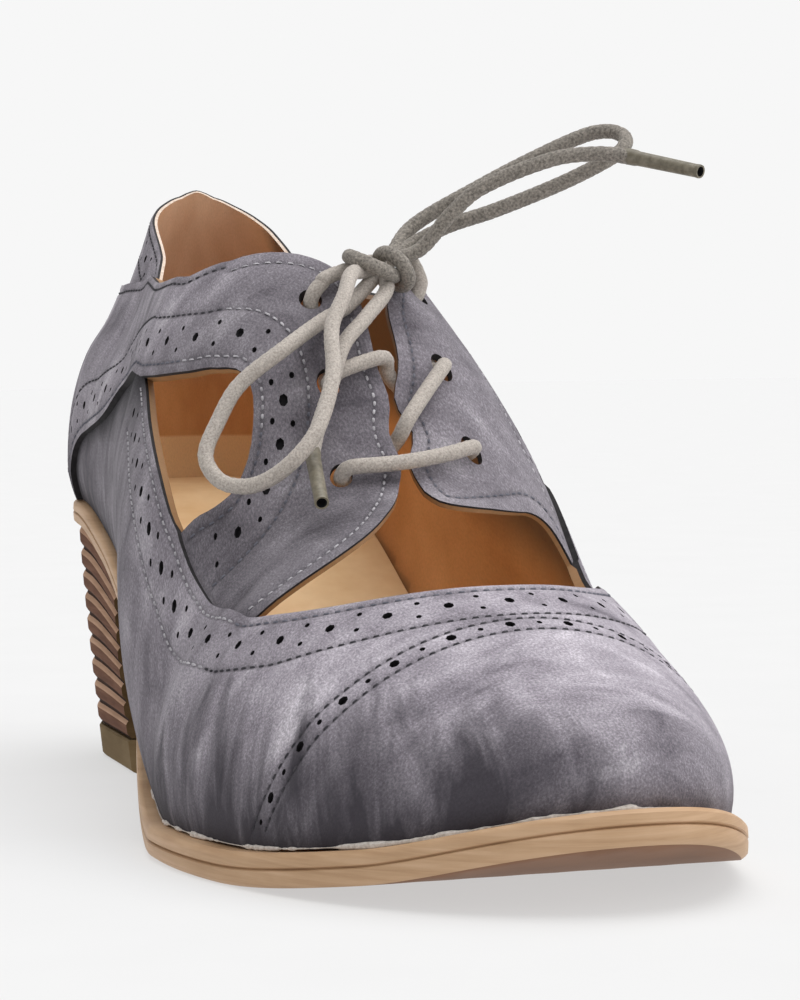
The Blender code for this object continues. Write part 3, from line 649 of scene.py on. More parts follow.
def new_piece(name, points, faces, materials, kinds=None, maps=None, values=None, sharp=40.0):
    """A mesh from stations, widths and heights; kinds gives each face's material.

    maps are its named flat coordinates, and values its named numbers, point by point.
    """
    mesh = bpy.data.meshes.new(name)
    mesh.from_pydata(in_frame(points).tolist(), [], [tuple(int(i) for i in f) for f in faces])
    for material in materials:
        mesh.materials.append(material)
    if kinds is not None:
        mesh.polygons.foreach_set("material_index", np.asarray(kinds, np.int32))
    corners = np.empty(len(mesh.loops), np.int32)
    mesh.loops.foreach_get("vertex_index", corners)
    for title, flat in (maps or {}).items():
        layer = mesh.uv_layers.new(name=title)
        layer.data.foreach_set("uv", np.asarray(flat, np.float32)[corners].ravel())
    for title, numbers in (values or {}).items():
        attribute = mesh.attributes.new(title, "FLOAT", "POINT")
        attribute.data.foreach_set("value", np.asarray(numbers, np.float32))
    bm = bmesh.new()
    bm.from_mesh(mesh)
    bmesh.ops.recalc_face_normals(bm, faces=bm.faces)
    if bm.calc_volume(signed=True) < 0:
        bmesh.ops.reverse_faces(bm, faces=bm.faces)
    bm.to_mesh(mesh)
    bm.free()
    mesh.shade_smooth()
    mesh.set_sharp_from_angle(angle=math.radians(sharp))
    piece = new_object(name, mesh)
    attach(piece, "root")
    return piece


# Materials


class Shader:
    """A material's Principled shader, and short ways to add nodes in front of it."""

    def __init__(self, name, roughness, gloss=0.3, sheen=0.0):
        self.material = bpy.data.materials.new(name)
        self.material.use_nodes = True
        self.tree = self.material.node_tree
        self.main = self.tree.nodes["Principled BSDF"]
        self.main.inputs["Roughness"].default_value = roughness
        self.main.inputs["Specular IOR Level"].default_value = gloss
        self.main.inputs["Sheen Weight"].default_value = sheen

    def node(self, kind, inputs=(), **settings):
        """A new node; each input is another node's output, a number or a colour."""
        node = self.tree.nodes.new(kind)
        for name, value in settings.items():
            setattr(node, name, value)
        for name, value in dict(inputs).items():
            socket = node.inputs[name]
            if isinstance(value, bpy.types.NodeSocket):
                self.tree.links.new(value, socket)
            else:
                socket.default_value = (*value, 1) if socket.type == "RGBA" else value
        return node

    def coordinates(self, source, scale, turn=0.0):
        """UV, for the first flat map, Object, or the name of another flat map, scaled and turned."""
        if source in ("UV", "Object"):
            where = self.node("ShaderNodeTexCoord").outputs[source]
        else:
            where = self.node("ShaderNodeUVMap", uv_map=source).outputs["UV"]
        inputs = {"Vector": where, "Scale": scale, "Rotation": (0, 0, turn)}
        return self.node("ShaderNodeMapping", inputs).outputs["Vector"]

    def noise(self, where, scale, detail=3.0, rough=0.55, warp=0.0):
        inputs = {"Vector": where, "Scale": scale, "Detail": detail, "Roughness": rough, "Distortion": warp}
        return self.node("ShaderNodeTexNoise", inputs).outputs["Fac"]

    def ramp(self, value, *stops):
        node = self.node("ShaderNodeValToRGB", {"Fac": value})
        elements = node.color_ramp.elements
        elements[0].position, elements[-1].position = stops[0][0], stops[-1][0]
        elements[0].color, elements[-1].color = (*stops[0][1], 1), (*stops[-1][1], 1)
        for place, colour in stops[1:-1]:
            elements.new(place).color = (*colour, 1)
        return node.outputs["Color"]

    def grey_ramp(self, value, *stops):
        return self.ramp(value, *((place, (level,) * 3) for place, level in stops))

    def mix(self, share, first, second, blend="MIX"):
        inputs = {0: share, 6: first, 7: second}
        return self.node("ShaderNodeMix", inputs, data_type="RGBA", blend_type=blend).outputs[2]

    def math(self, operation, first, second):
        return self.node("ShaderNodeMath", {0: first, 1: second}, operation=operation).outputs[0]

    def attribute(self, name):
        return self.node("ShaderNodeAttribute", attribute_name=name).outputs["Fac"]

    def colour(self, socket):
        self.tree.links.new(socket, self.main.inputs["Base Color"])

    def bump(self, height, strength, distance):
        inputs = {"Height": height, "Strength": strength, "Distance": distance * MM}
        normal = self.node("ShaderNodeBump", inputs).outputs["Normal"]
        self.tree.links.new(normal, self.main.inputs["Normal"])


def suede():
    """Brushed grey nap: clouds, slanting strokes and fine flecks, painted light and shade, and dark fingers
    low on the toe.
    """
    s = Shader("suede", 0.95, 0.12, 0.08)
    s.main.inputs["Sheen Roughness"].default_value = 0.5
    flat = s.coordinates("UV", (1, 1, 1))
    strokes = s.coordinates("UV", (13, 5, 1), math.radians(24))
    clouds = s.noise(flat, 7.0, 4, 0.6, 0.5)
    brushed = s.noise(strokes, 1.0, 4, 0.6, 0.8)
    base = s.ramp(
        s.mix(0.5, clouds, brushed),
        (0.34, (0.118, 0.106, 0.124)),
        (0.46, (0.215, 0.196, 0.222)),
        (0.56, (0.290, 0.267, 0.298)),
        (0.68, (0.450, 0.422, 0.458)),
    )
    nap = s.noise(flat, 230, 5, 0.75)
    flecks = s.ramp(nap, (0.36, (0.42, 0.42, 0.43)), (0.5, (0.93, 0.93, 0.93)), (0.64, (1.8, 1.79, 1.8)))
    # Painted light: the pale value makes the suede paler on top of the toe and darker on the side walls and
    # lacing panels
    painted_light_base = s.mix(1.0, base, s.grey_ramp(s.attribute("pale"), (0, 0.6), (1, 1.45)), "MULTIPLY")
    mottled = s.mix(0.6, painted_light_base, flecks, "MULTIPLY")
    # The dark fingers low on the toe: partly streaks in the suede, partly painted shade over the sole
    rising = s.noise(s.coordinates("skirt", (1, 1, 1)), 1.0, 4, 0.6, 0.5)
    reach = s.math("ADD", s.attribute("low"), s.math("MULTIPLY", s.math("SUBTRACT", rising, 0.5), 2.2))
    fingers = s.grey_ramp(reach, (0.3, 0.0), (1.0, 0.92))
    streaked_and_shaded = s.mix(fingers, mottled, (0.046, 0.041, 0.050))
    s.colour(s.mix(s.attribute("shade"), streaked_and_shaded, (0.016, 0.014, 0.018)))
    s.bump(nap, 0.5, 0.25)
    return s.material


def lining():
    """Smooth leather, pinker at the back, with the sock's paler leather drawn up at the arch."""
    s = Shader("lining", 0.5, 0.35)
    flat = s.coordinates("UV", (1, 1, 1))
    clouds = s.noise(flat, 4.0, 3)
    pores = s.noise(flat, 160, 3, 0.6)
    back = s.ramp(clouds, (0.3, (0.56, 0.33, 0.20)), (0.7, (0.72, 0.47, 0.31)))
    front = s.ramp(clouds, (0.3, (0.62, 0.31, 0.12)), (0.7, (0.80, 0.45, 0.20)))
    leather = s.mix(s.attribute("front"), back, front)
    sock = s.grey_ramp(s.attribute("sock"), (0.02, 0), (0.07, 1))
    leather = s.mix(sock, leather, (0.92, 0.67, 0.37))
    leather = s.mix(0.25, leather, s.grey_ramp(pores, (0.35, 0.6), (0.6, 1)), "MULTIPLY")
    s.colour(s.mix(s.attribute("shade"), leather, (0.030, 0.018, 0.012)))
    s.bump(pores, 0.2, 0.15)
    return s.material


def speckled(name, dark, light, roughness, scale, bump=0.15, sheen=0.0):
    """A plain material with a fine change of tone, in object space."""
    s = Shader(name, roughness, 0.3, sheen)
    grain = s.noise(s.coordinates("Object", (1000, 1000, 1000)), scale, 4, 0.6)
    s.colour(s.ramp(grain, (0.3, dark), (0.7, light)))
    s.bump(grain, bump, 0.2)
    return s.material


def layered(name, dark, middle, light, stretch, roughness=0.5, bump=0.2, specular=0.3):
    """Fibres that run level round an edge: noise squeezed in height, with softer clouds over it."""
    s = Shader(name, roughness, specular)
    fibres = s.noise(s.coordinates("Object", (40, 40, stretch)), 1.0, 5, 0.65, 0.3)
    clouds = s.noise(s.coordinates("Object", (60, 60, 60)), 1.0, 3)
    tone = s.mix(0.35, fibres, clouds)
    s.colour(s.ramp(tone, (0.3, dark), (0.5, middle), (0.7, light)))
    s.bump(fibres, bump, 0.25)
    return s.material


SUEDE = suede()
LINING = lining()
CUT_EDGE = speckled("cut_edge", (0.006, 0.005, 0.006), (0.026, 0.023, 0.025), 0.75, 0.8)
LINING_EDGE = speckled("lining_edge", (0.56, 0.43, 0.34), (0.80, 0.68, 0.58), 0.7, 0.9)
# Near-black painted shade for the floors and walls of the brogue holes and the aglets' mouths
HOLE_SHADE = speckled("hole_dark", (0.004, 0.004, 0.005), (0.014, 0.012, 0.014), 0.95, 2.0)
THREAD_LIGHT = speckled("thread_light", (0.20, 0.19, 0.21), (0.54, 0.52, 0.55), 0.7, 0.6)
THREAD_MIDDLE = speckled("thread_middle", (0.060, 0.060, 0.080), (0.16, 0.16, 0.19), 0.7, 0.6)
THREAD_DARK = speckled("thread_dark", (0.016, 0.015, 0.020), (0.060, 0.056, 0.064), 0.7, 0.6)
SOLE_TAN = layered("sole_tan", (0.38, 0.225, 0.12), (0.50, 0.32, 0.185), (0.61, 0.41, 0.26), 900)
SOLE_LINE = layered("sole_line", (0.26, 0.145, 0.075), (0.36, 0.215, 0.115), (0.45, 0.28, 0.16), 900)
SOLE_BASE = layered("sole_base", (0.14, 0.058, 0.021), (0.20, 0.086, 0.033), (0.26, 0.118, 0.05), 60)
# The heel's waxed edge has hardly any gloss
DULL = {"roughness": 0.75, "specular": 0.06}
HEEL_RIB = layered(
    "heel_rib", (0.080, 0.036, 0.022), (0.145, 0.068, 0.042), (0.215, 0.108, 0.069), 700, **DULL
)
HEEL_LIGHT = layered(
    "heel_light", (0.34, 0.20, 0.125), (0.46, 0.285, 0.19), (0.56, 0.36, 0.25), 700, **DULL
)
HEEL_DARK = layered(
    "heel_dark", (0.016, 0.007, 0.004), (0.032, 0.014, 0.008), (0.06, 0.028, 0.016), 500, **DULL
)
HEEL_BREAST = layered(
    "heel_breast", (0.060, 0.036, 0.016), (0.092, 0.057, 0.026), (0.13, 0.083, 0.040), 300, **DULL
)
LIFT_OLIVE = layered(
    "lift_olive", (0.13, 0.088, 0.042), (0.18, 0.125, 0.064), (0.23, 0.165, 0.09), 200, **DULL
)
INSOLE_TAN = speckled("insole_tan", (0.80, 0.56, 0.29), (0.90, 0.68, 0.40), 0.5, 0.12)
CORD_GREY = speckled("cord_grey", (0.29, 0.258, 0.23), (0.57, 0.515, 0.465), 0.9, 2.6, 0.5, 0.1)
# A darker copy of the lace's grey: painted shade on the knot and the upper half of the bow
CORD_SHADED = speckled("cord_shaded", (0.10, 0.090, 0.078), (0.36, 0.325, 0.285), 0.9, 2.2, 0.6, 0.1)
AGLET_BROWN = speckled("aglet_brown", (0.115, 0.100, 0.070), (0.24, 0.215, 0.165), 0.45, 0.7, 0.1)
GLUE_WHITE = speckled("glue_white", (0.50, 0.44, 0.39), (0.80, 0.75, 0.70), 0.6, 1.5)

# The upper's fine surface

# The holes close up round the lace
EYELET_SEEN = 4.0
EYELET_SIDES = 24
EDGE_STEP = 1.9
GRID = 2.1
EDGE_ROLL = 0.3
GROOVE = 0.28
GROOVE_HALF = 0.7
HOLE_DEPTH = 0.8
BIG_HOLE = 1.7
SMALL_HOLE = 0.95
HOLE_PITCH = 9.2
PAIR_APART = 1.9
HOLE_SIDES = 7
# The least way from the rows of holes, and from a hole's rim, to an edge
HOLES_CLEAR = 2.4
RIM_CLEAR = 0.8
STITCH_PITCH = 1.9
STITCH_LONG = 1.25
STITCH_WIDE = 0.46
# A stitch's height over its width, the share of its length that is full, and its place in its groove
STITCH_FLAT = 0.72
STITCH_FULL = 0.55
STITCH_DEEP, STITCH_HIGH = -0.1, 0.16
STITCH_POINTS = 10
# How far the rows lie from the edges that they follow
BAND_EDGE, BAND_MIDDLE, BAND_FOOT = 1.8, 5.7, 10.2
STRAP_ROW, PANEL_ROW, COUNTER_ROW = 1.5, 2.6, 1.8
COLLAR_ROWS = (1.8, 9.0)
COLLAR_HOLES = 5.4
ROW_STEP = 1.0
# The rows' least way to an edge and up from the sole, and how much nearer a bend may bring them
ROW_CLEAR, ROW_RISE, TOE_ROW_RISE = 0.9, 1.5, 2.0
ROW_NEAR = 0.96
# Half the length of a line that reaches over the whole toe
TOE_HALF = 80
# The vamp's front, and the stretch of the strap's rows with light thread, as stations
VAMP_FRONT = 172
STRAP_LIGHT = (118, 140)
TOE_CAP_ROWS = (210.2, 213.8)
TOE_CAP_HOLES = 212.0


def edge_lines():
    """Every line that ends a piece of leather or parts two."""
    lines = [bottom_line(EDGE_STEP), vamp_line(EDGE_STEP)]
    for side in (OUTER, INNER):
        shared = [COLLAR_BACK, STRAP_TOP, STRAP_OVER_COUNTER]
        own = [rows[side] for rows in (STRAP_LOW, SIDE_WALL_TOP, FACING, PANEL_FRONT, VAMP_OVER_PANEL)]
        lines += [line(rows, side, EDGE_STEP) for rows in shared + own]
        lines.append(quarter_line(side, EDGE_STEP))
    return lines


def segments(lines):
    return np.concatenate([np.stack([points[:-1], points[1:]], 1) for points in lines])


EDGES = segments(edge_lines())


def joined(*lines):
    whole = lines[0]
    for points in lines[1:]:
        whole = np.concatenate([whole, points[1:]])
    return whole


def moved_left(points, distance):
    """A flat line moved this far to its left."""
    step = unit(np.gradient(points, axis=0))
    return points + np.stack([-step[:, 1], step[:, 0]], -1) * distance


def beside(points, distance, clear=ROW_CLEAR):
    """The line this far to the left of a flat line: its longest stretch that meets no edge."""
    moved = moved_left(points, distance)
    own = np.stack([points[:-1], points[1:]], 1)
    good = distance_to(own, moved) > abs(distance) * ROW_NEAR
    good &= distance_to(EDGES, moved) > clear
    for share in (0.25, 0.5, 0.75):
        good[1:] &= distance_to(EDGES, moved[:-1] * (1 - share) + moved[1:] * share) > clear
    good &= PATTERN.place(moved)[1] > ROW_RISE
    best, run = (0, 0), 0
    for i, fine in enumerate(np.append(good, False)):
        if fine:
            run += 1
        else:
            best = max(best, (run, i))
            run = 0
    length, end = best
    return moved[end - length : end]


def row_line(rows, side):
    return line(rows, side, ROW_STEP)


def vamp_top():
    """The vamp's whole top edge, from the outer side wall round to the inner one."""
    outer, inner = (
        joined(row_line(SIDE_WALL_TOP[side], side), row_line(VAMP_OVER_PANEL[side], side))
        for side in (OUTER, INNER)
    )
    return joined(outer, vamp_line(ROW_STEP), inner[::-1])


def strap_foot(side):
    """The strap's lower edge, from the sole up and round the lacing panel."""
    return joined(quarter_line(side, ROW_STEP)[::-1], row_line(STRAP_LOW[side], side))


def parted(points, station):
    """A line's stretches on the outer side, ahead of a station, and on the inner side."""
    ahead = np.flatnonzero(points[:, 0] > station)
    first, last = ahead[0], ahead[-1]
    return points[: first + 1], points[first : last + 1], points[last:]


def across_toe(station):
    """A straight line over the toe, from sole to sole."""
    wide = np.arange(-TOE_HALF, TOE_HALF + ROW_STEP / 2, ROW_STEP)
    points = np.stack([np.full(len(wide), station), wide], -1)
    return points[PATTERN.place(points)[1] > TOE_ROW_RISE]


def stitch_rows():
    """(flat line, region, thread)."""
    rows = [(across_toe(station), "vamp", "dark") for station in TOE_CAP_ROWS]
    for distance, ahead in ((BAND_EDGE, "middle"), (BAND_FOOT, "dark")):
        outer, front, inner = parted(beside(vamp_top(), distance), VAMP_FRONT)
        rows += [(outer, "vamp", "light"), (front, "vamp", ahead), (inner, "vamp", "light")]
    for side in (OUTER, INNER):
        for distance, behind in ((BAND_EDGE, "middle"), (BAND_FOOT, "dark")):
            row = beside(strap_foot(side), -side * distance)
            split, turn = (int(np.argmax(row[:, 0] > station)) for station in STRAP_LIGHT)
            turn = turn or len(row) - 1
            rows += [(row[: split + 1], "quarter", behind), (row[split : turn + 1], "quarter", "light")]
            rows.append((row[turn:], "quarter", "middle"))
        panel = joined(row_line(FACING[side], side), row_line(PANEL_FRONT[side], side))
        thread = "light" if side == OUTER else "middle"
        rows.append((beside(row_line(STRAP_TOP, side), side * STRAP_ROW), "quarter", "dark"))
        rows.append((beside(panel, side * PANEL_ROW), "quarter", thread))
        rows.append((beside(row_line(STRAP_OVER_COUNTER, side), -side * COUNTER_ROW), "quarter", "dark"))
        collar = row_line(COLLAR_BACK, side)
        rows += [(beside(collar, side * distance), "counter", "dark") for distance in COLLAR_ROWS]
    return rows


def hole_rows():
    """(flat line, region, how far the small holes of a pair lie from the line)."""
    rows = [(beside(vamp_top(), BAND_MIDDLE, HOLES_CLEAR), "vamp", PAIR_APART)]
    rows.append((across_toe(TOE_CAP_HOLES), "vamp", 0.0))
    for side in (OUTER, INNER):
        strap, collar = strap_foot(side), row_line(COLLAR_BACK, side)
        rows.append((beside(strap, -side * BAND_MIDDLE, HOLES_CLEAR), "quarter", PAIR_APART))
        rows.append((beside(collar, side * COLLAR_HOLES, HOLES_CLEAR), "counter", PAIR_APART))
    return rows


def even_along(points, pitch, shares=(0.0,)):
    """Flat places at even true distances along a line, with shifts along it, and the way across it."""
    solid = on_sole(PATTERN.on_last(points))
    run = run_along(solid)
    count = max(1, int(run[-1] / pitch))
    places = (np.arange(count) + 0.5) * run[-1] / count
    at = places[:, None] + np.asarray(shares)
    flat = np.stack([np.interp(at, run, column) for column in points.T], -1)
    step = np.gradient(points, axis=0)
    across = np.stack([np.interp(places, run, -step[:, 1]), np.interp(places, run, step[:, 0])], -1)
    return flat, unit(across)


def brogue_holes():
    """(centre, radius, region): along each row a large hole, then a pair of small ones across it."""
    holes = []
    for points, region, apart in hole_rows():
        flat, across = even_along(points, HOLE_PITCH / 2)
        for number, (spot, way) in enumerate(zip(flat[:, 0], across)):
            if number % 2 == 0:
                holes.append((spot, BIG_HOLE / 2, region))
            else:
                signs = (1, -1) if apart else (0,)
                holes += [(spot + way * apart * s, SMALL_HOLE / 2, region) for s in signs]
    return [h for h in holes if distance_to(EDGES, h[0][None])[0] > h[1] + RIM_CLEAR]


def ring_about(centre, radius, count):
    angles = np.linspace(0, 2 * math.pi, count + 1)
    return np.asarray(centre) + radius * np.stack([np.cos(angles), np.sin(angles)], -1)


def zipped(first, second):
    """Triangles between two columns of points, which may differ in number."""
    faces = []
    i = j = 0
    while i + 1 < len(first) or j + 1 < len(second):
        if j + 1 == len(second) or (i + 1 < len(first) and i <= j):
            faces.append((first[i], second[j], first[i + 1]))
            i += 1
        else:
            faces.append((first[i], second[j], second[j + 1]))
            j += 1
    return faces


# Soft creases over the flex of the foot, at the toe and at the heel: the side, then where each one
# starts and ends as ways round and up from the last's bottom edge, its lift and its spread
CREASES = (
    (OUTER, (168, 12), (184, 40), -0.55, 3.6),
    (OUTER, (177, 10), (193, 38), 0.4, 3.2),
    (OUTER, (187, 10), (202, 36), -0.45, 3.4),
    (OUTER, (222, 12), (218, 32), -0.35, 3.8),
    (OUTER, (236, 10), (232, 30), 0.3, 3.4),
    (OUTER, (52, 16), (62, 44), -0.4, 4.2),
    (INNER, (166, 11), (180, 36), -0.5, 3.6),
    (INNER, (176, 10), (190, 34), 0.4, 3.2),
    (INNER, (232, 10), (228, 30), -0.35, 3.8),
    (INNER, (50, 16), (60, 46), -0.4, 4.2),
)


def creased(flat, lift):
    """Points this far out from the last, on the real sole, with the creases in."""
    flat = np.asarray(flat, float)
    total = np.array(lift, float) + np.zeros(flat.shape[:-1])
    for side, first, last, height, spread in CREASES:
        start, end = (PATTERN.flat(*np.array(place), side) for place in (first, last))
        way = end - start
        share = np.clip((flat - start) @ way / (way @ way), 0, 1)
        away = flat - start - share[..., None] * way
        total += height * np.exp(-(away**2).sum(-1) / spread**2)
    return on_sole(PATTERN.raised(flat, total))


def wall(region, flat):
    """Thickness of the wall; a hole's floor lies this much lower."""
    name = region.removesuffix("_hole")
    drop = HOLE_DEPTH if region != name else 0.0
    if name == "counter":
        return np.full(len(flat), COUNTER_WALL) - drop
    rows = QUARTER_WALL if name == "quarter" else VAMP_WALL
    return curve(rows, "wall", flat[:, 0]) - drop


def rim_points(faces, names):
    """The points on the free edges of the named faces."""
    rim = set()
    for edge, numbers in neighbours(faces).items():
        if sum(names[n] is not None for n in numbers) == 1:
            rim.update(edge)
    return rim


STITCH_ROWS = [row for row in stitch_rows() if len(row[0]) > 3]
# Where each large piece of leather lies on the flat pattern
SEEDS = (("vamp", (230, 0)), ("counter", (-12, 0)), ("quarter", (70, 45)), ("quarter", (70, -45)))
# The lining's share of the wall's free edges
LINING_SHARE = {"counter": 0.55, "other": 0.66}
# How dark it gets under the strap's edge, in the grooves, over the sole, at cut edges and in the throat
STRAP_SHADE, GROOVE_SHADE, FOOT_SHADE = 0.9, 0.4, 0.5
CUT_SHADE, THROAT_SHADE = 0.576, 0.8
# The upper's materials, by the kind of each face
SUEDE_FACE, LINING_FACE, CUT_FACE, LINING_EDGE_FACE, HOLE_FACE = range(5)
UPPER_MATERIALS = [SUEDE, LINING, CUT_EDGE, LINING_EDGE, HOLE_SHADE]
# Sizes of the flat map, and of the one that the dark fingers over the sole are drawn in
MAP_SIZE = 100
FINGER_WIDE, FINGER_HIGH = 7, 30


def upper_net(holes):
    """The upper's flat drawing: edges, lace holes, brogue holes and the grooves of the stitches."""
    net = Net()
    for points in edge_lines():
        net.add_line(points)
    for centre in eyelets():
        net.add_line(ring_about(centre, EYELET_SEEN / 2, EYELET_SIDES))
    for centre, radius, _ in holes:
        net.add_line(ring_about(centre, radius, HOLE_SIDES))
    for points, _, _ in STITCH_ROWS:
        for distance in (-GROOVE_HALF, 0.0, GROOVE_HALF):
            net.add_line(moved_left(points, distance)[::2], True, 0.0 if distance else GROOVE)
    net.fill(GRID)
    return net


def wall_levels(points, faces, names, sunk, rim):
    """For each place, its height on the lining and on each region that meets there."""
    rise = PATTERN.place(points)[1]
    levels = {}
    for region in sorted({name for name in names if name}):
        used = sorted({v for face, name in zip(faces, names) if name == region for v in face})
        lifts = wall(region, points[used]) - sunk[used]
        for v, lift in zip(used, lifts):
            roll = EDGE_ROLL if v in rim and rise[v] > 1 else 0.0
            levels.setdefault(v, {"lining": 0.0})[region] = float(lift) - roll
    for v in rim:
        least = min(lift for name, lift in levels[v].items() if name != "lining")
        levels[v]["split"] = LINING_SHARE["counter" if "counter" in levels[v] else "other"] * least
    return levels


def tones(flat, order, sunk, cut):
    """Numbers for the materials, point by point."""
    along, rise, side = PATTERN.place(flat)
    station, inner = flat[:, 0], side == INNER
    on_vamp = np.array([name == "vamp" for name in order])
    inside = np.array([name in ("lining", "split") for name in order])

    # Shade: under the strap's rear edge, in the grooves and over the sole, and inside the throat
    under = segments([quarter_line(half, EDGE_STEP) for half in (OUTER, INNER)])
    reach = 2.4 + 4.0 * share_of(rise, 18, 28)
    strap = np.exp(-((distance_in_steps(under, flat) / reach) ** 2))
    outside = np.maximum(STRAP_SHADE * strap * on_vamp, GROOVE_SHADE * (sunk > 0))
    outside = np.maximum(outside, FOOT_SHADE * np.exp(-((rise / 3.0) ** 2)))
    throat = share_of(station, 22, 32) * share_of(station, 152, 140) * inner * share_of(rise, 26, 36)
    shade = np.where(inside, np.maximum(THROAT_SHADE * throat, CUT_SHADE * cut), outside)

    # The dark fingers, partly streaks in the suede and partly painted shade, reach higher at the toe and
    # fade past its tip on the inner side, the lit side
    low = np.clip(1 - rise / (16 + 22 * share_of(along, 150, 205)), 0, 1)
    past_tip = (HALF_ROUND - along) * np.where(inner, 1, -1)
    low -= 0.8 * share_of(past_tip, -18, 6)

    # The lining's front, and the sock's edge above the heel seat and the arch
    front = np.maximum(share_of(station, 8, 48), share_of(rise, 34, 22))
    seat = np.clip((np.where(inner, 70, 25) - along) / 10, 0, 1)
    sock = seat * (12 - rise) / 12

    # Painted light: the suede painted paler on top of the toe, and darker at the side walls and the lacing
    # panels
    vamp = 0.5 + 0.55 * share_of(station, 165, 205) * share_of(rise, 8, 24)
    panel = share_of(station, 108, 122) * np.where(inner, 0.2, 0.42)
    pale = np.where(on_vamp, vamp * np.clip((station - 70) / 85, 0.35, 1), 0.5 - panel)
    return {"shade": shade, "low": low, "front": front, "sock": sock, "pale": pale}


def wall_faces(points, faces, names, columns):
    """(faces, the kind of each): both faces of the wall, its free edges and its steps."""
    made, kinds = [], []
    spots = eyelets()

    def add(more, kind):
        made.extend(more)
        kinds.extend([kind] * len(more))

    def between(a, b, low, high):
        """Triangles between two levels, along the edge from a to b."""
        pair = []
        for v in (a, b):
            found = list(columns[v])
            first, last = sorted((found.index(low), found.index(high)))
            pair.append([columns[v][name] for name in found[first : last + 1]])
        return zipped(*pair)

    for face, name in zip(faces, names):
        if name:
            # Hole floors take the near-black painted shade
            add([[columns[v][name] for v in face]], HOLE_FACE if name.endswith("_hole") else SUEDE_FACE)
            add([[columns[v]["lining"] for v in reversed(face)]], LINING_FACE)
    for (a, b), numbers in neighbours(faces).items():
        found = [names[n] for n in numbers if names[n]]
        if len(found) == 1:
            inner = LINING_EDGE_FACE if found[0] == "counter" else LINING_FACE
            # Round the eyelets the lining's part of the wall takes the cut edge's black too: painted shade
            # inside the lace holes
            if np.linalg.norm(points[a] - spots, axis=-1).min() < EYELET_SEEN / 2 + 0.1:
                inner = CUT_FACE
            add(between(a, b, "lining", "split"), inner)
            add(between(a, b, "split", found[0]), CUT_FACE)
        elif len(found) == 2 and found[0] != found[1]:
            hole = any(name.endswith("_hole") for name in found)
            # A hole's walls take the near-black painted shade too
            add(between(a, b, *found), HOLE_FACE if hole else CUT_FACE)
    return made, kinds


def upper():
    """The suede wall with its lining; gives the middle and the region of each flat triangle."""
    holes = brogue_holes()
    points, faces, barriers, sunk = upper_net(holes).triangles()
    seeds = [*SEEDS, *((region + "_hole", centre) for centre, _, region in holes)]
    names = flooded(points, faces, barriers, seeds)
    rim = rim_points(faces, names)
    levels = wall_levels(points, faces, names, sunk, rim)
    order, columns, places, lifts = [], {}, [], []
    for v, found in levels.items():
        columns[v] = {}
        for name, lift in sorted(found.items(), key=lambda item: item[1]):
            columns[v][name] = len(places)
            places.append(v)
            lifts.append(lift)
            order.append(name)
    flat = points[places]
    cut = np.array([v in rim and "counter" not in levels[v] for v in places])
    values = tones(flat, order, sunk[places], cut)
    along, rise, side = PATTERN.place(flat)
    skirt = np.stack([(along - HALF_ROUND) * side / FINGER_WIDE, rise / FINGER_HIGH], -1)
    maps = {"pattern": flat / MAP_SIZE, "skirt": skirt}
    solid = creased(flat, np.array(lifts))
    made, kinds = wall_faces(points, faces, names, columns)
    piece = new_piece("upper_suede", solid, made, UPPER_MATERIALS, kinds, maps, values, 50)
    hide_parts("upper")
    return points[np.array(faces)].mean(1), names


def stitch_points(flat, region):
    """The points of each stitch: a tip, two rings of four and a tip."""
    level = wall(region, flat.reshape(-1, 2)).reshape(len(flat), 4) - GROOVE
    spots = creased(flat, level + np.array([STITCH_DEEP, STITCH_HIGH, STITCH_HIGH, STITCH_DEEP]))
    out = unit(creased(flat, level + 1.0) - creased(flat, level))
    side = unit(np.cross(out, spots[:, 3:] - spots[:, :1]))
    wide, tall = side * STITCH_WIDE / 2, out * STITCH_WIDE / 2 * STITCH_FLAT
    rings = [[spots[:, k] + d[:, k] for d in (wide, tall, -wide, -tall)] for k in (1, 2)]
    return np.stack([spots[:, 0], *rings[0], *rings[1], spots[:, 3]], 1).reshape(-1, 3)


def stitch_faces(tip):
    """The faces of the stitch whose first tip has this number."""
    low, high, last = tip + 1, tip + 5, tip + 9
    faces = []
    for k in range(4):
        n = (k + 1) % 4
        faces.append((tip, low + n, low + k))
        faces.append((low + k, low + n, high + n, high + k))
        faces.append((high + k, high + n, last))
    return faces


def stitches(centres, names):
    """One joined mesh for each thread: a slim spindle for each stitch, its tips in the groove.

    A stitch is left out unless both its ends lie on its own piece of leather.
    """
    tree = KDTree(len(centres))
    for number, (x, y) in enumerate(centres):
        tree.insert((x, y, 0.0), number)
    tree.balance()
    half, full = STITCH_LONG / 2, STITCH_LONG / 2 * STITCH_FULL
    for thread, material in (("light", THREAD_LIGHT), ("middle", THREAD_MIDDLE), ("dark", THREAD_DARK)):
        solids = []
        for points, region, found in STITCH_ROWS:
            if found == thread:
                flat, _ = even_along(points, STITCH_PITCH, (-half, -full, full, half))
                ends = [[names[tree.find((*spots[k], 0.0))[1]] for k in (0, 3)] for spots in flat]
                flat = flat[[pair == [region, region] for pair in ends]]
                solids.append(stitch_points(flat, region))
        solid = np.concatenate(solids)
        faces = [face for tip in range(0, len(solid), STITCH_POINTS) for face in stitch_faces(tip)]
        piece = new_piece(f"stitches_{thread}", solid, faces, [material], sharp=80)


# Sole, heel and insole

SOLE_SHARES = (0, 0.03, 0.08, 0.16, 0.3, 0.44, 0.48, 0.51, 0.54, 0.57, 0.6, 0.64, 0.75, 0.86, 0.94, 1.0)
SOLE_STEP, INSOLE_STEP = 1.6, 2.2
# The shares between which the line between the sole's two layers is darker
LAYER_LINE = (0.5, 0.58)
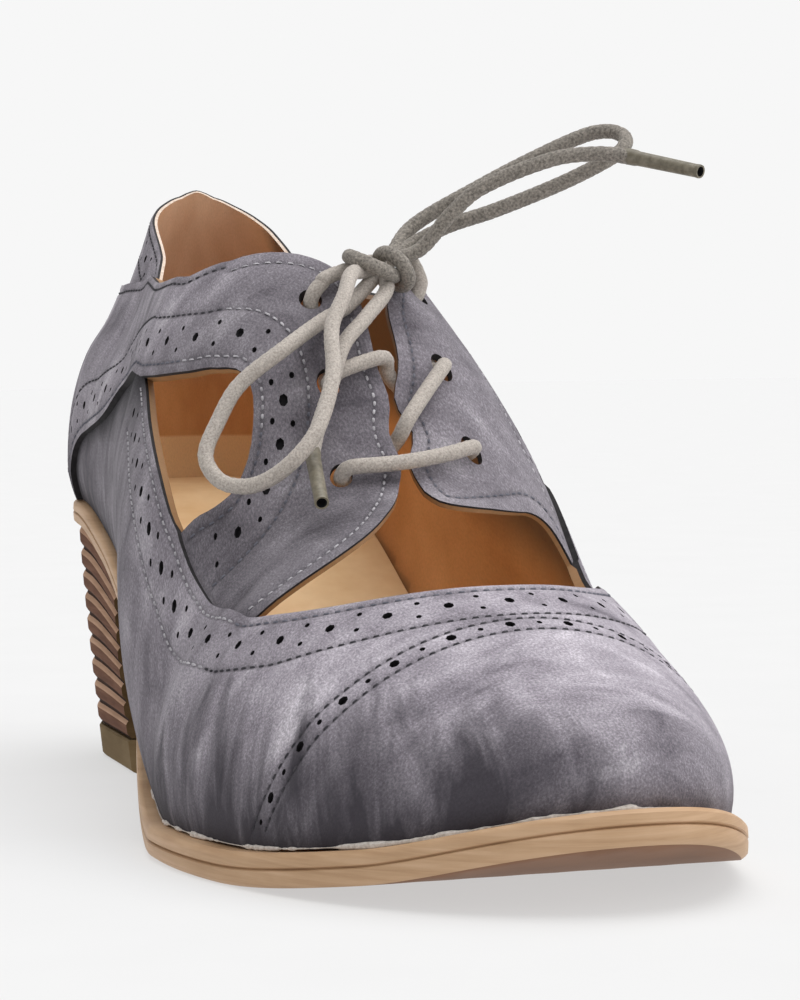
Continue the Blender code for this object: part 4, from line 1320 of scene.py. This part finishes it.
# Heights over the underside, and how far the edge lies in there
INSOLE_EDGE = (
    (0.0, 0.9), (0.5, 0.0), (INSOLE_THICK - 0.5, 0.0), (INSOLE_THICK - 0.1, 0.25), (INSOLE_THICK, 0.7),
)
LIFT_EDGE = ((0.0, 1.0), (0.3, 0.4), (0.8, 0.0), (LIFT_HEIGHT - 0.5, 0.0), (LIFT_HEIGHT, 0.4))
# A rib is dark within this share of its ends, and pale above another
RIB_GROOVE, RIB_PALE = 0.1, 0.7
RIB_FACE, GROOVE_FACE, PALE_FACE = range(3)


def between_rings(rings):
    """Quads between rings of equally many points."""
    count = len(rings[0])
    quads = []
    for number in range(len(rings) - 1):
        low, high = number * count, (number + 1) * count
        for i in range(count):
            k = (i + 1) % count
            quads.append((low + i, low + k, high + k, high + i))
    return quads


def cap(ring, first, start, height, grid):
    """Flat fill inside a ring: (more points, triangles); first is the ring's first point's number."""
    net = Net()
    net.add_line(np.concatenate([ring, ring[:1]]))
    net.fill(grid)
    points, faces, barriers, _ = net.triangles()
    names = flooded(points, faces, barriers, [("inside", ring.mean(0))])
    inside = sorted({v for face, found in zip(faces, names) if found for v in face if v >= len(ring)})
    number = {v: start + i for i, v in enumerate(inside)}
    number.update((v, first + v) for v in range(len(ring)))
    more = np.column_stack([points[inside], height(points[inside, 0])])
    return more, [[number[v] for v in face] for face, found in zip(faces, names) if found]


def plate(name, node, rings, heights, materials, ring_kinds, grid=5.0):
    """A plate that follows the sole, as in the solids, with a material for each ring of its edge."""
    solid = np.concatenate([np.column_stack([r, h(r[:, 0])]) for r, h in zip(rings, heights)])
    faces = between_rings(rings)
    kinds = [kind for kind in ring_kinds for _ in rings[0]]
    count = len(rings[0])
    for ring, height, first, kind in (
        (rings[0], heights[0], 0, len(materials) - 1),
        (rings[-1], heights[-1], count * (len(rings) - 1), 0),
    ):
        more, made = cap(ring, first, len(solid), height, grid)
        solid = np.concatenate([solid, more])
        faces += made
        kinds += [kind] * len(made)
    piece = new_piece(name, solid, faces, materials, kinds)
    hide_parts(node)


def outsole():
    rings, heights = [], []
    for share in SOLE_SHARES:
        rings.append(closed_loop(sole_points, float(curve(SOLE_EDGE, "out", share)), SOLE_STEP))
        heights.append(lambda s, share=share: sole_underside(s) * (1 - share) + sole_top(s) * share)
    start, end = LAYER_LINE
    in_line = [start < (a + b) / 2 < end for a, b in zip(SOLE_SHARES, SOLE_SHARES[1:])]
    plate("outsole_leather", "outsole", rings, heights, [SOLE_TAN, SOLE_LINE, SOLE_BASE], in_line)


def insole():
    rings, heights = [], []
    for lift, inset in INSOLE_EDGE:
        rings.append(closed_loop(edge_points, -INSOLE_INSET - inset, INSOLE_STEP))
        heights.append(lambda s, lift=lift: sole_top(s) + GAP + lift)
    plate("insole_leather", "insole", rings, heights, [INSOLE_TAN, INSOLE_TAN], [0] * 4)


def rib_inset(up):
    """How far the heel's side lies in: a groove at each end of a rib, and a flat between."""
    start, end = RIB_FLAT
    share = np.clip(max((start - up) / start, (up - end) / (1 - end)), 0, 1)
    return RIB_DEPTH * eased(share)


def block(name, node, rings, heights, materials, ring_kinds, breast):
    """A closed stack of rings; the last points of each ring are the heel's breast."""
    count = len(rings[0])
    solid = np.concatenate([np.column_stack([r, h]) for r, h in zip(rings, heights)])
    faces = between_rings(rings)
    kinds = []
    for kind in ring_kinds:
        kinds += [kind if i < count - breast - 1 else len(materials) - 1 for i in range(count)]
    faces += [list(range(count)), list(range(count * (len(rings) - 1), count * len(rings)))]
    kinds += [0, 0]
    piece = new_piece(name, solid, faces, materials, kinds)
    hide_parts(node)


def heel():
    levels, kinds = [], []
    for number in range(HEEL_RIBS):
        for up in RIB_SHARES:
            levels.append(((number + up) / HEEL_RIBS, rib_inset(up)))
            in_groove = not RIB_GROOVE < up < 1 - RIB_GROOVE
            kinds.append(GROOVE_FACE if in_groove else (PALE_FACE if up > RIB_PALE else RIB_FACE))
    levels.append((1.0, RIB_DEPTH))
    rings = [heel_ring(share, inset) for share, inset in levels]
    heights = [heel_height(ring[:, 0], share) for ring, (share, _) in zip(rings, levels)]
    materials = [HEEL_RIB, HEEL_DARK, HEEL_LIGHT, HEEL_BREAST]
    block("heel_stack", "heel", rings, heights, materials, kinds, HEEL_BREAST_POINTS)


def top_lift():
    rings, heights = [], []
    for height, inset in LIFT_EDGE:
        ring = heel_ring(0.0, LIFT_INSET * (1 - height / LIFT_HEIGHT) + inset)
        rings.append(ring)
        heights.append(np.full(len(ring), height))
    block("heel_lift", "top_lift", rings, heights, [LIFT_OLIVE, LIFT_OLIVE], [0] * 4, HEEL_BREAST_POINTS)


# The bead of glue: where it starts, its steps and sides, how far up the wall and out from it it lies
SEAM_START, SEAM_STEP, SEAM_SIDES = 150, 0.7, 7
SEAM_UP, SEAM_OUT = 0.2, 0.1
# Its lumps: the seed, the steps that each one fills, their mean, how much they swell it, and its radius
LUMP_SEED, LUMP_STEPS = 7, 9
LUMP_MEAN, LUMP_SWELL = 0.47, 2.6
SEAM_LEAST, SEAM_MIDDLE, SEAM_LARGEST = 0.08, 0.12, 0.75


def sole_seam():
    """A thin uneven bead of glue where the upper meets the sole, from the waist round the toe."""
    alongs = np.arange(SEAM_START, HALF_ROUND, SEAM_STEP)
    rng = np.random.default_rng(LUMP_SEED)
    spots = []
    for side, ways in ((OUTER, alongs), (INNER, alongs[::-1])):
        flat = PATTERN.flat(ways, 0 * ways + SEAM_UP, side)
        spots.append(creased(flat, wall("vamp", flat) + SEAM_OUT))
    path = np.concatenate(spots)
    draws = rng.uniform(0, 1, len(path) + LUMP_STEPS - 1)
    lumps = np.convolve(draws, np.ones(LUMP_STEPS) / LUMP_STEPS, "valid")
    radius = np.clip(SEAM_MIDDLE + LUMP_SWELL * (lumps - LUMP_MEAN), SEAM_LEAST, SEAM_LARGEST)
    solids, faces = tube(path, lambda run, angle: radius[:, None] + 0 * angle, SEAM_SIDES)
    piece = new_piece("sole_seam", solids, faces, [GLUE_WHITE])


# The lace


def route(rows):
    return np.stack([rows["station"], rows["width"], rows["height"]], -1)


def lace_route():
    """Station, distance off the lacing line and height of the lace, stop by stop."""
    stops = np.stack([LACE_STOPS["station"], LACE_STOPS["off"]], -1)
    gone, height = LACE_DIVE["gone"], LACE_DIVE["height"]
    rows = []
    for number, (start, end) in enumerate(zip(stops, stops[1:])):
        face = 1 if number % 2 == 0 else -1
        length = np.linalg.norm(end - start)
        middle = np.arange(LACE_CLEAR, length - LACE_CLEAR + 0.1, LACE_STEP)
        ways = np.concatenate([gone, middle, length - gone[::-1]])
        levels = np.concatenate([height, np.full(len(middle), LACE_HIGH), height[::-1]])
        if number == 0:
            levels[: len(gone)] = LACE_END_HIGH
        if number == len(stops) - 2:
            levels[-len(gone) :] = LACE_END_HIGH
        gone_share = ways / length
        spots = start + (end - start) * gone_share[:, None]
        spots[:, 0] += LACE_STOPS["sag"][number] * 4 * gone_share * (1 - gone_share)
        rows.append(np.column_stack([spots, levels * face]))
        if number < len(stops) - 2:
            rows.append([[*end, 0.0]])
    return np.concatenate(rows)


# A direction that no lace or seam runs along
ASIDE = (0.3, 0.1, 1.0)


def tube(path, radius_of, sides, closed=False):
    """(points, faces) of a tube along a path; radius_of takes the way gone and the angle round it."""
    step = unit(np.gradient(path, axis=0))
    normal = np.cross(step[0], ASIDE)
    normals = []
    for way in step:
        normal = unit(normal - way * (normal @ way))
        normals.append(normal)
    normals = np.array(normals)
    others = np.cross(step, normals)
    angle = np.linspace(0, 2 * math.pi, sides, endpoint=False)
    radius = radius_of(run_along(path)[:, None], angle[None])[..., None]
    around = normals[:, None] * np.cos(angle)[:, None] + others[:, None] * np.sin(angle)[:, None]
    points = (path[:, None] + radius * around).reshape(-1, 3)
    faces = between_rings([angle] * len(path))
    if closed:
        last = sides * (len(path) - 1)
        faces += [(last + i, last + (i + 1) % sides, (i + 1) % sides, i) for i in range(sides)]
        return points, faces
    ends = [list(range(sides)), list(range(sides * (len(path) - 1), sides * len(path)))]
    return points, faces + ends


BRAID_STRANDS = 5
BRAID_LAY = 9.0
BRAID_STEP = 0.45
BRAID_SIDES = 18
BRAID_DEPTH = 0.06


def braid(run, angle):
    """Radius of a round braid: strands that wind both ways, one over the other in turn."""
    turn = 2 * math.pi * run / BRAID_LAY
    weave = np.maximum(np.cos(BRAID_STRANDS * (angle + turn)), np.cos(BRAID_STRANDS * (angle - turn)))
    return LACE / 2 * (1 - BRAID_DEPTH + BRAID_DEPTH * weave)


def cord_piece(name, points, material=CORD_GREY):
    path = smooth_line(points, BRAID_STEP)
    solid, faces = tube(path, braid, BRAID_SIDES)
    piece = new_piece(name, solid, faces, [material], sharp=80)
    return piece, path


def lace():
    """The lace through its holes, its two ends running into the knot."""
    rows = lace_route()
    flat = swung(rows[:, :2])
    half = wall("quarter", flat) / 2
    lift = half + rows[:, 2] * (half + LACE / 2 + LACE_CLEARANCE)
    points = creased(flat, lift)
    into = np.array(KNOT_CENTRE)
    points = np.concatenate([[into + KNOT_ENTRY], points, [into - KNOT_ENTRY]])
    piece, _ = cord_piece("lace_laced", points)
    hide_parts("lace_crossings")


# Each turn of the knot: its middle, from the knot's, and its two half axes
KNOT_TURNS = np.array(
    (
        ((2.6, 2.4, -1.0), (1.2, -3.9, -1.8), (4.4, 1.4, 0.0)),
        ((3.1, -1.5, -1.6), (0.6, -2.1, -2.7), (3.5, -0.4, 1.1)),
    )
)
KNOT_POINTS = 52


def knot():
    """Two turns of the lace, one over the other, round the strands of the bow."""
    solids, faces, total = [], [], 0
    for centre, first, second in KNOT_TURNS:
        angles = np.linspace(0, 2 * math.pi, KNOT_POINTS, endpoint=False)[:, None]
        path = np.array(KNOT_CENTRE) + centre + np.cos(angles) * first + np.sin(angles) * second
        made, quads = tube(path, braid, BRAID_SIDES, True)
        solids.append(made)
        faces += [[i + total for i in face] for face in quads]
        total += len(made)
    # The knot's turns take the darker copy of the lace's grey, painted shade
    piece = new_piece("lace_knot_turns", np.concatenate(solids), faces, [CORD_SHADED], sharp=80)
    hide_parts("lace_knot")


# A lace tip's places and radii, from its start and from its end; it reaches back over the lace
AGLET_START = ((-2.2, 1.0), (-2.18, 1.4), (-1.4, 1.5), (0.4, 1.46), (1.2, 1.32))
AGLET_END = ((-1.0, 1.2), (-0.3, 1.27), (0.0, 1.2), (-0.05, 0.9), (-1.6, 0.75))
AGLET_SIDES = 20


def aglet(name, node, rows):
    """A hollow lace tip: a slim sleeve with a collar at its start and a shallow mouth at its end, painted
    dark as painted shade.
    """
    start, end = route(rows)
    way = unit(end - start)
    path = np.array([start + way * at for at, _ in AGLET_START] + [end + way * at for at, _ in AGLET_END])
    sizes = np.array([size for _, size in AGLET_START + AGLET_END])
    side = unit(np.cross(way, ASIDE))
    angle = np.linspace(0, 2 * math.pi, AGLET_SIDES, endpoint=False)[:, None]
    around = side * np.cos(angle) + np.cross(way, side) * np.sin(angle)
    solid = (path[:, None] + sizes[:, None, None] * around).reshape(-1, 3)
    last = AGLET_SIDES * (len(path) - 1)
    faces = between_rings([angle] * len(path))
    faces += [list(range(AGLET_SIDES)), list(range(last, last + AGLET_SIDES))]
    # The mouth's last band and its floor are painted shade
    kinds = [0] * (last - AGLET_SIDES) + [1] * AGLET_SIDES + [0, 1]
    piece = new_piece(name, solid, faces, [AGLET_BROWN, HOLE_SHADE], kinds, sharp=35)
    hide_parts(node)
    return piece


# The upper half of the bow takes the darker copy of the lace's grey, painted shade
CORDS = {"lower": CORD_GREY, "upper": CORD_SHADED}
# Where the strands of each half of the bow run into the knot
KNOT_PASS = {"lower": np.array((122.5, -6.6, 98.0)), "upper": np.array((121.5, -8.8, 100.0))}


def bow():
    knot()
    for half, rows in (("lower", LOOP_LOWER), ("upper", LOOP_UPPER)):
        into = KNOT_PASS[half]
        points = np.concatenate([[into], route(rows), [into]])
        piece, path = cord_piece(f"bow_loop_{half}", points, CORDS[half])
        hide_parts(f"lace_loop_{half}")
    for half, rows, tip in (("lower", END_LOWER, TIP_LOWER), ("upper", END_UPPER, TIP_UPPER)):
        points = np.concatenate([[KNOT_PASS[half]], route(rows)])
        piece, path = cord_piece(f"bow_end_{half}", points, CORDS[half])
        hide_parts(f"lace_end_{half}")
        sleeve = aglet(f"bow_tip_{half}", f"aglet_{half}", tip)


# Camera, light and floor

CAMERA_PLACE = np.array((644.0, 154.5, 81.1))
CAMERA_AIM = np.array((120.0, -10.9, 56.4))
CAMERA_ROLL = -0.0138
CAMERA_LENS = 108.0
CAMERA_SENSOR = 36.0
# The floor glows a little, which keeps its shadows pale; its half width is in metres
FLOOR_GLOW = 0.54
FLOOR_HALF = 12.0
# The sky's brightness at two heights, each the sine of the angle over the horizon
SKY = ((0.14, 0.93), (0.45, 0.36))
# Name, direction, power and the angle that the light fills
SUNS = (("key", (0.16, 0.08, 0.97), 2.6, 60), ("side", (0.8, -0.65, 0.4), 1.15, 70))


def camera():
    data = bpy.data.cameras.new("camera")
    data.sensor_fit = "VERTICAL"
    data.sensor_height = CAMERA_SENSOR
    data.lens = CAMERA_LENS
    obj = new_object("camera", data)
    place, aim = (Vector(in_frame(p)) for p in (CAMERA_PLACE, CAMERA_AIM))
    turn = (aim - place).to_track_quat("-Z", "Y").to_matrix().to_4x4()
    obj.matrix_world = Matrix.Translation(place) @ turn @ Matrix.Rotation(CAMERA_ROLL, 4, "Z")
    bpy.context.scene.camera = obj


def sun(name, way, power, angle):
    """Even soft light from one direction; angle is how much of the sky it fills, in degrees."""
    data = bpy.data.lights.new(name, "SUN")
    data.energy, data.angle = power, math.radians(angle)
    obj = new_object(name, data)
    obj.matrix_world = (-Vector(way)).to_track_quat("-Z", "Y").to_matrix().to_4x4()


def sky():
    """A pale studio: bright low down all round, so that floor and background meet unseen."""
    world = bpy.data.worlds.new("studio")
    world.use_nodes = True
    nodes, links = world.node_tree.nodes, world.node_tree.links
    where = nodes.new("ShaderNodeTexCoord").outputs["Generated"]
    parts = nodes.new("ShaderNodeSeparateXYZ")
    links.new(where, parts.inputs[0])
    ramp = nodes.new("ShaderNodeValToRGB")
    links.new(parts.outputs["Z"], ramp.inputs["Fac"])
    for element, (height, level) in zip(ramp.color_ramp.elements, SKY):
        element.position, element.color = height, (level, level, level, 1)
    links.new(ramp.outputs["Color"], nodes["Background"].inputs["Color"])
    bpy.context.scene.world = world


def studio():
    sky()
    for light in SUNS:
        sun(*light)
    floor = Shader("floor", 0.9, 0.0)
    grain = floor.noise(floor.coordinates("Object", (30, 30, 30)), 1.0, 2)
    floor.colour(floor.grey_ramp(grain, (0.3, 0.275), (0.7, 0.285)))
    floor.main.inputs["Emission Color"].default_value = (1, 1, 1, 1)
    floor.main.inputs["Emission Strength"].default_value = FLOOR_GLOW
    mesh = bpy.data.meshes.new("floor")
    corners = [(FLOOR_HALF * x, FLOOR_HALF * y, 0) for x, y in ((-1, -1), (1, -1), (1, 1), (-1, 1))]
    mesh.from_pydata(corners, [], [(0, 1, 2, 3)])
    mesh.materials.append(floor.material)
    obj = new_object("floor", mesh)
    bpy.context.scene.view_settings.view_transform = "Standard"


camera()
bow()
lace()
outsole()
insole()
heel()
top_lift()
stitches(*upper())
sole_seam()
studio()
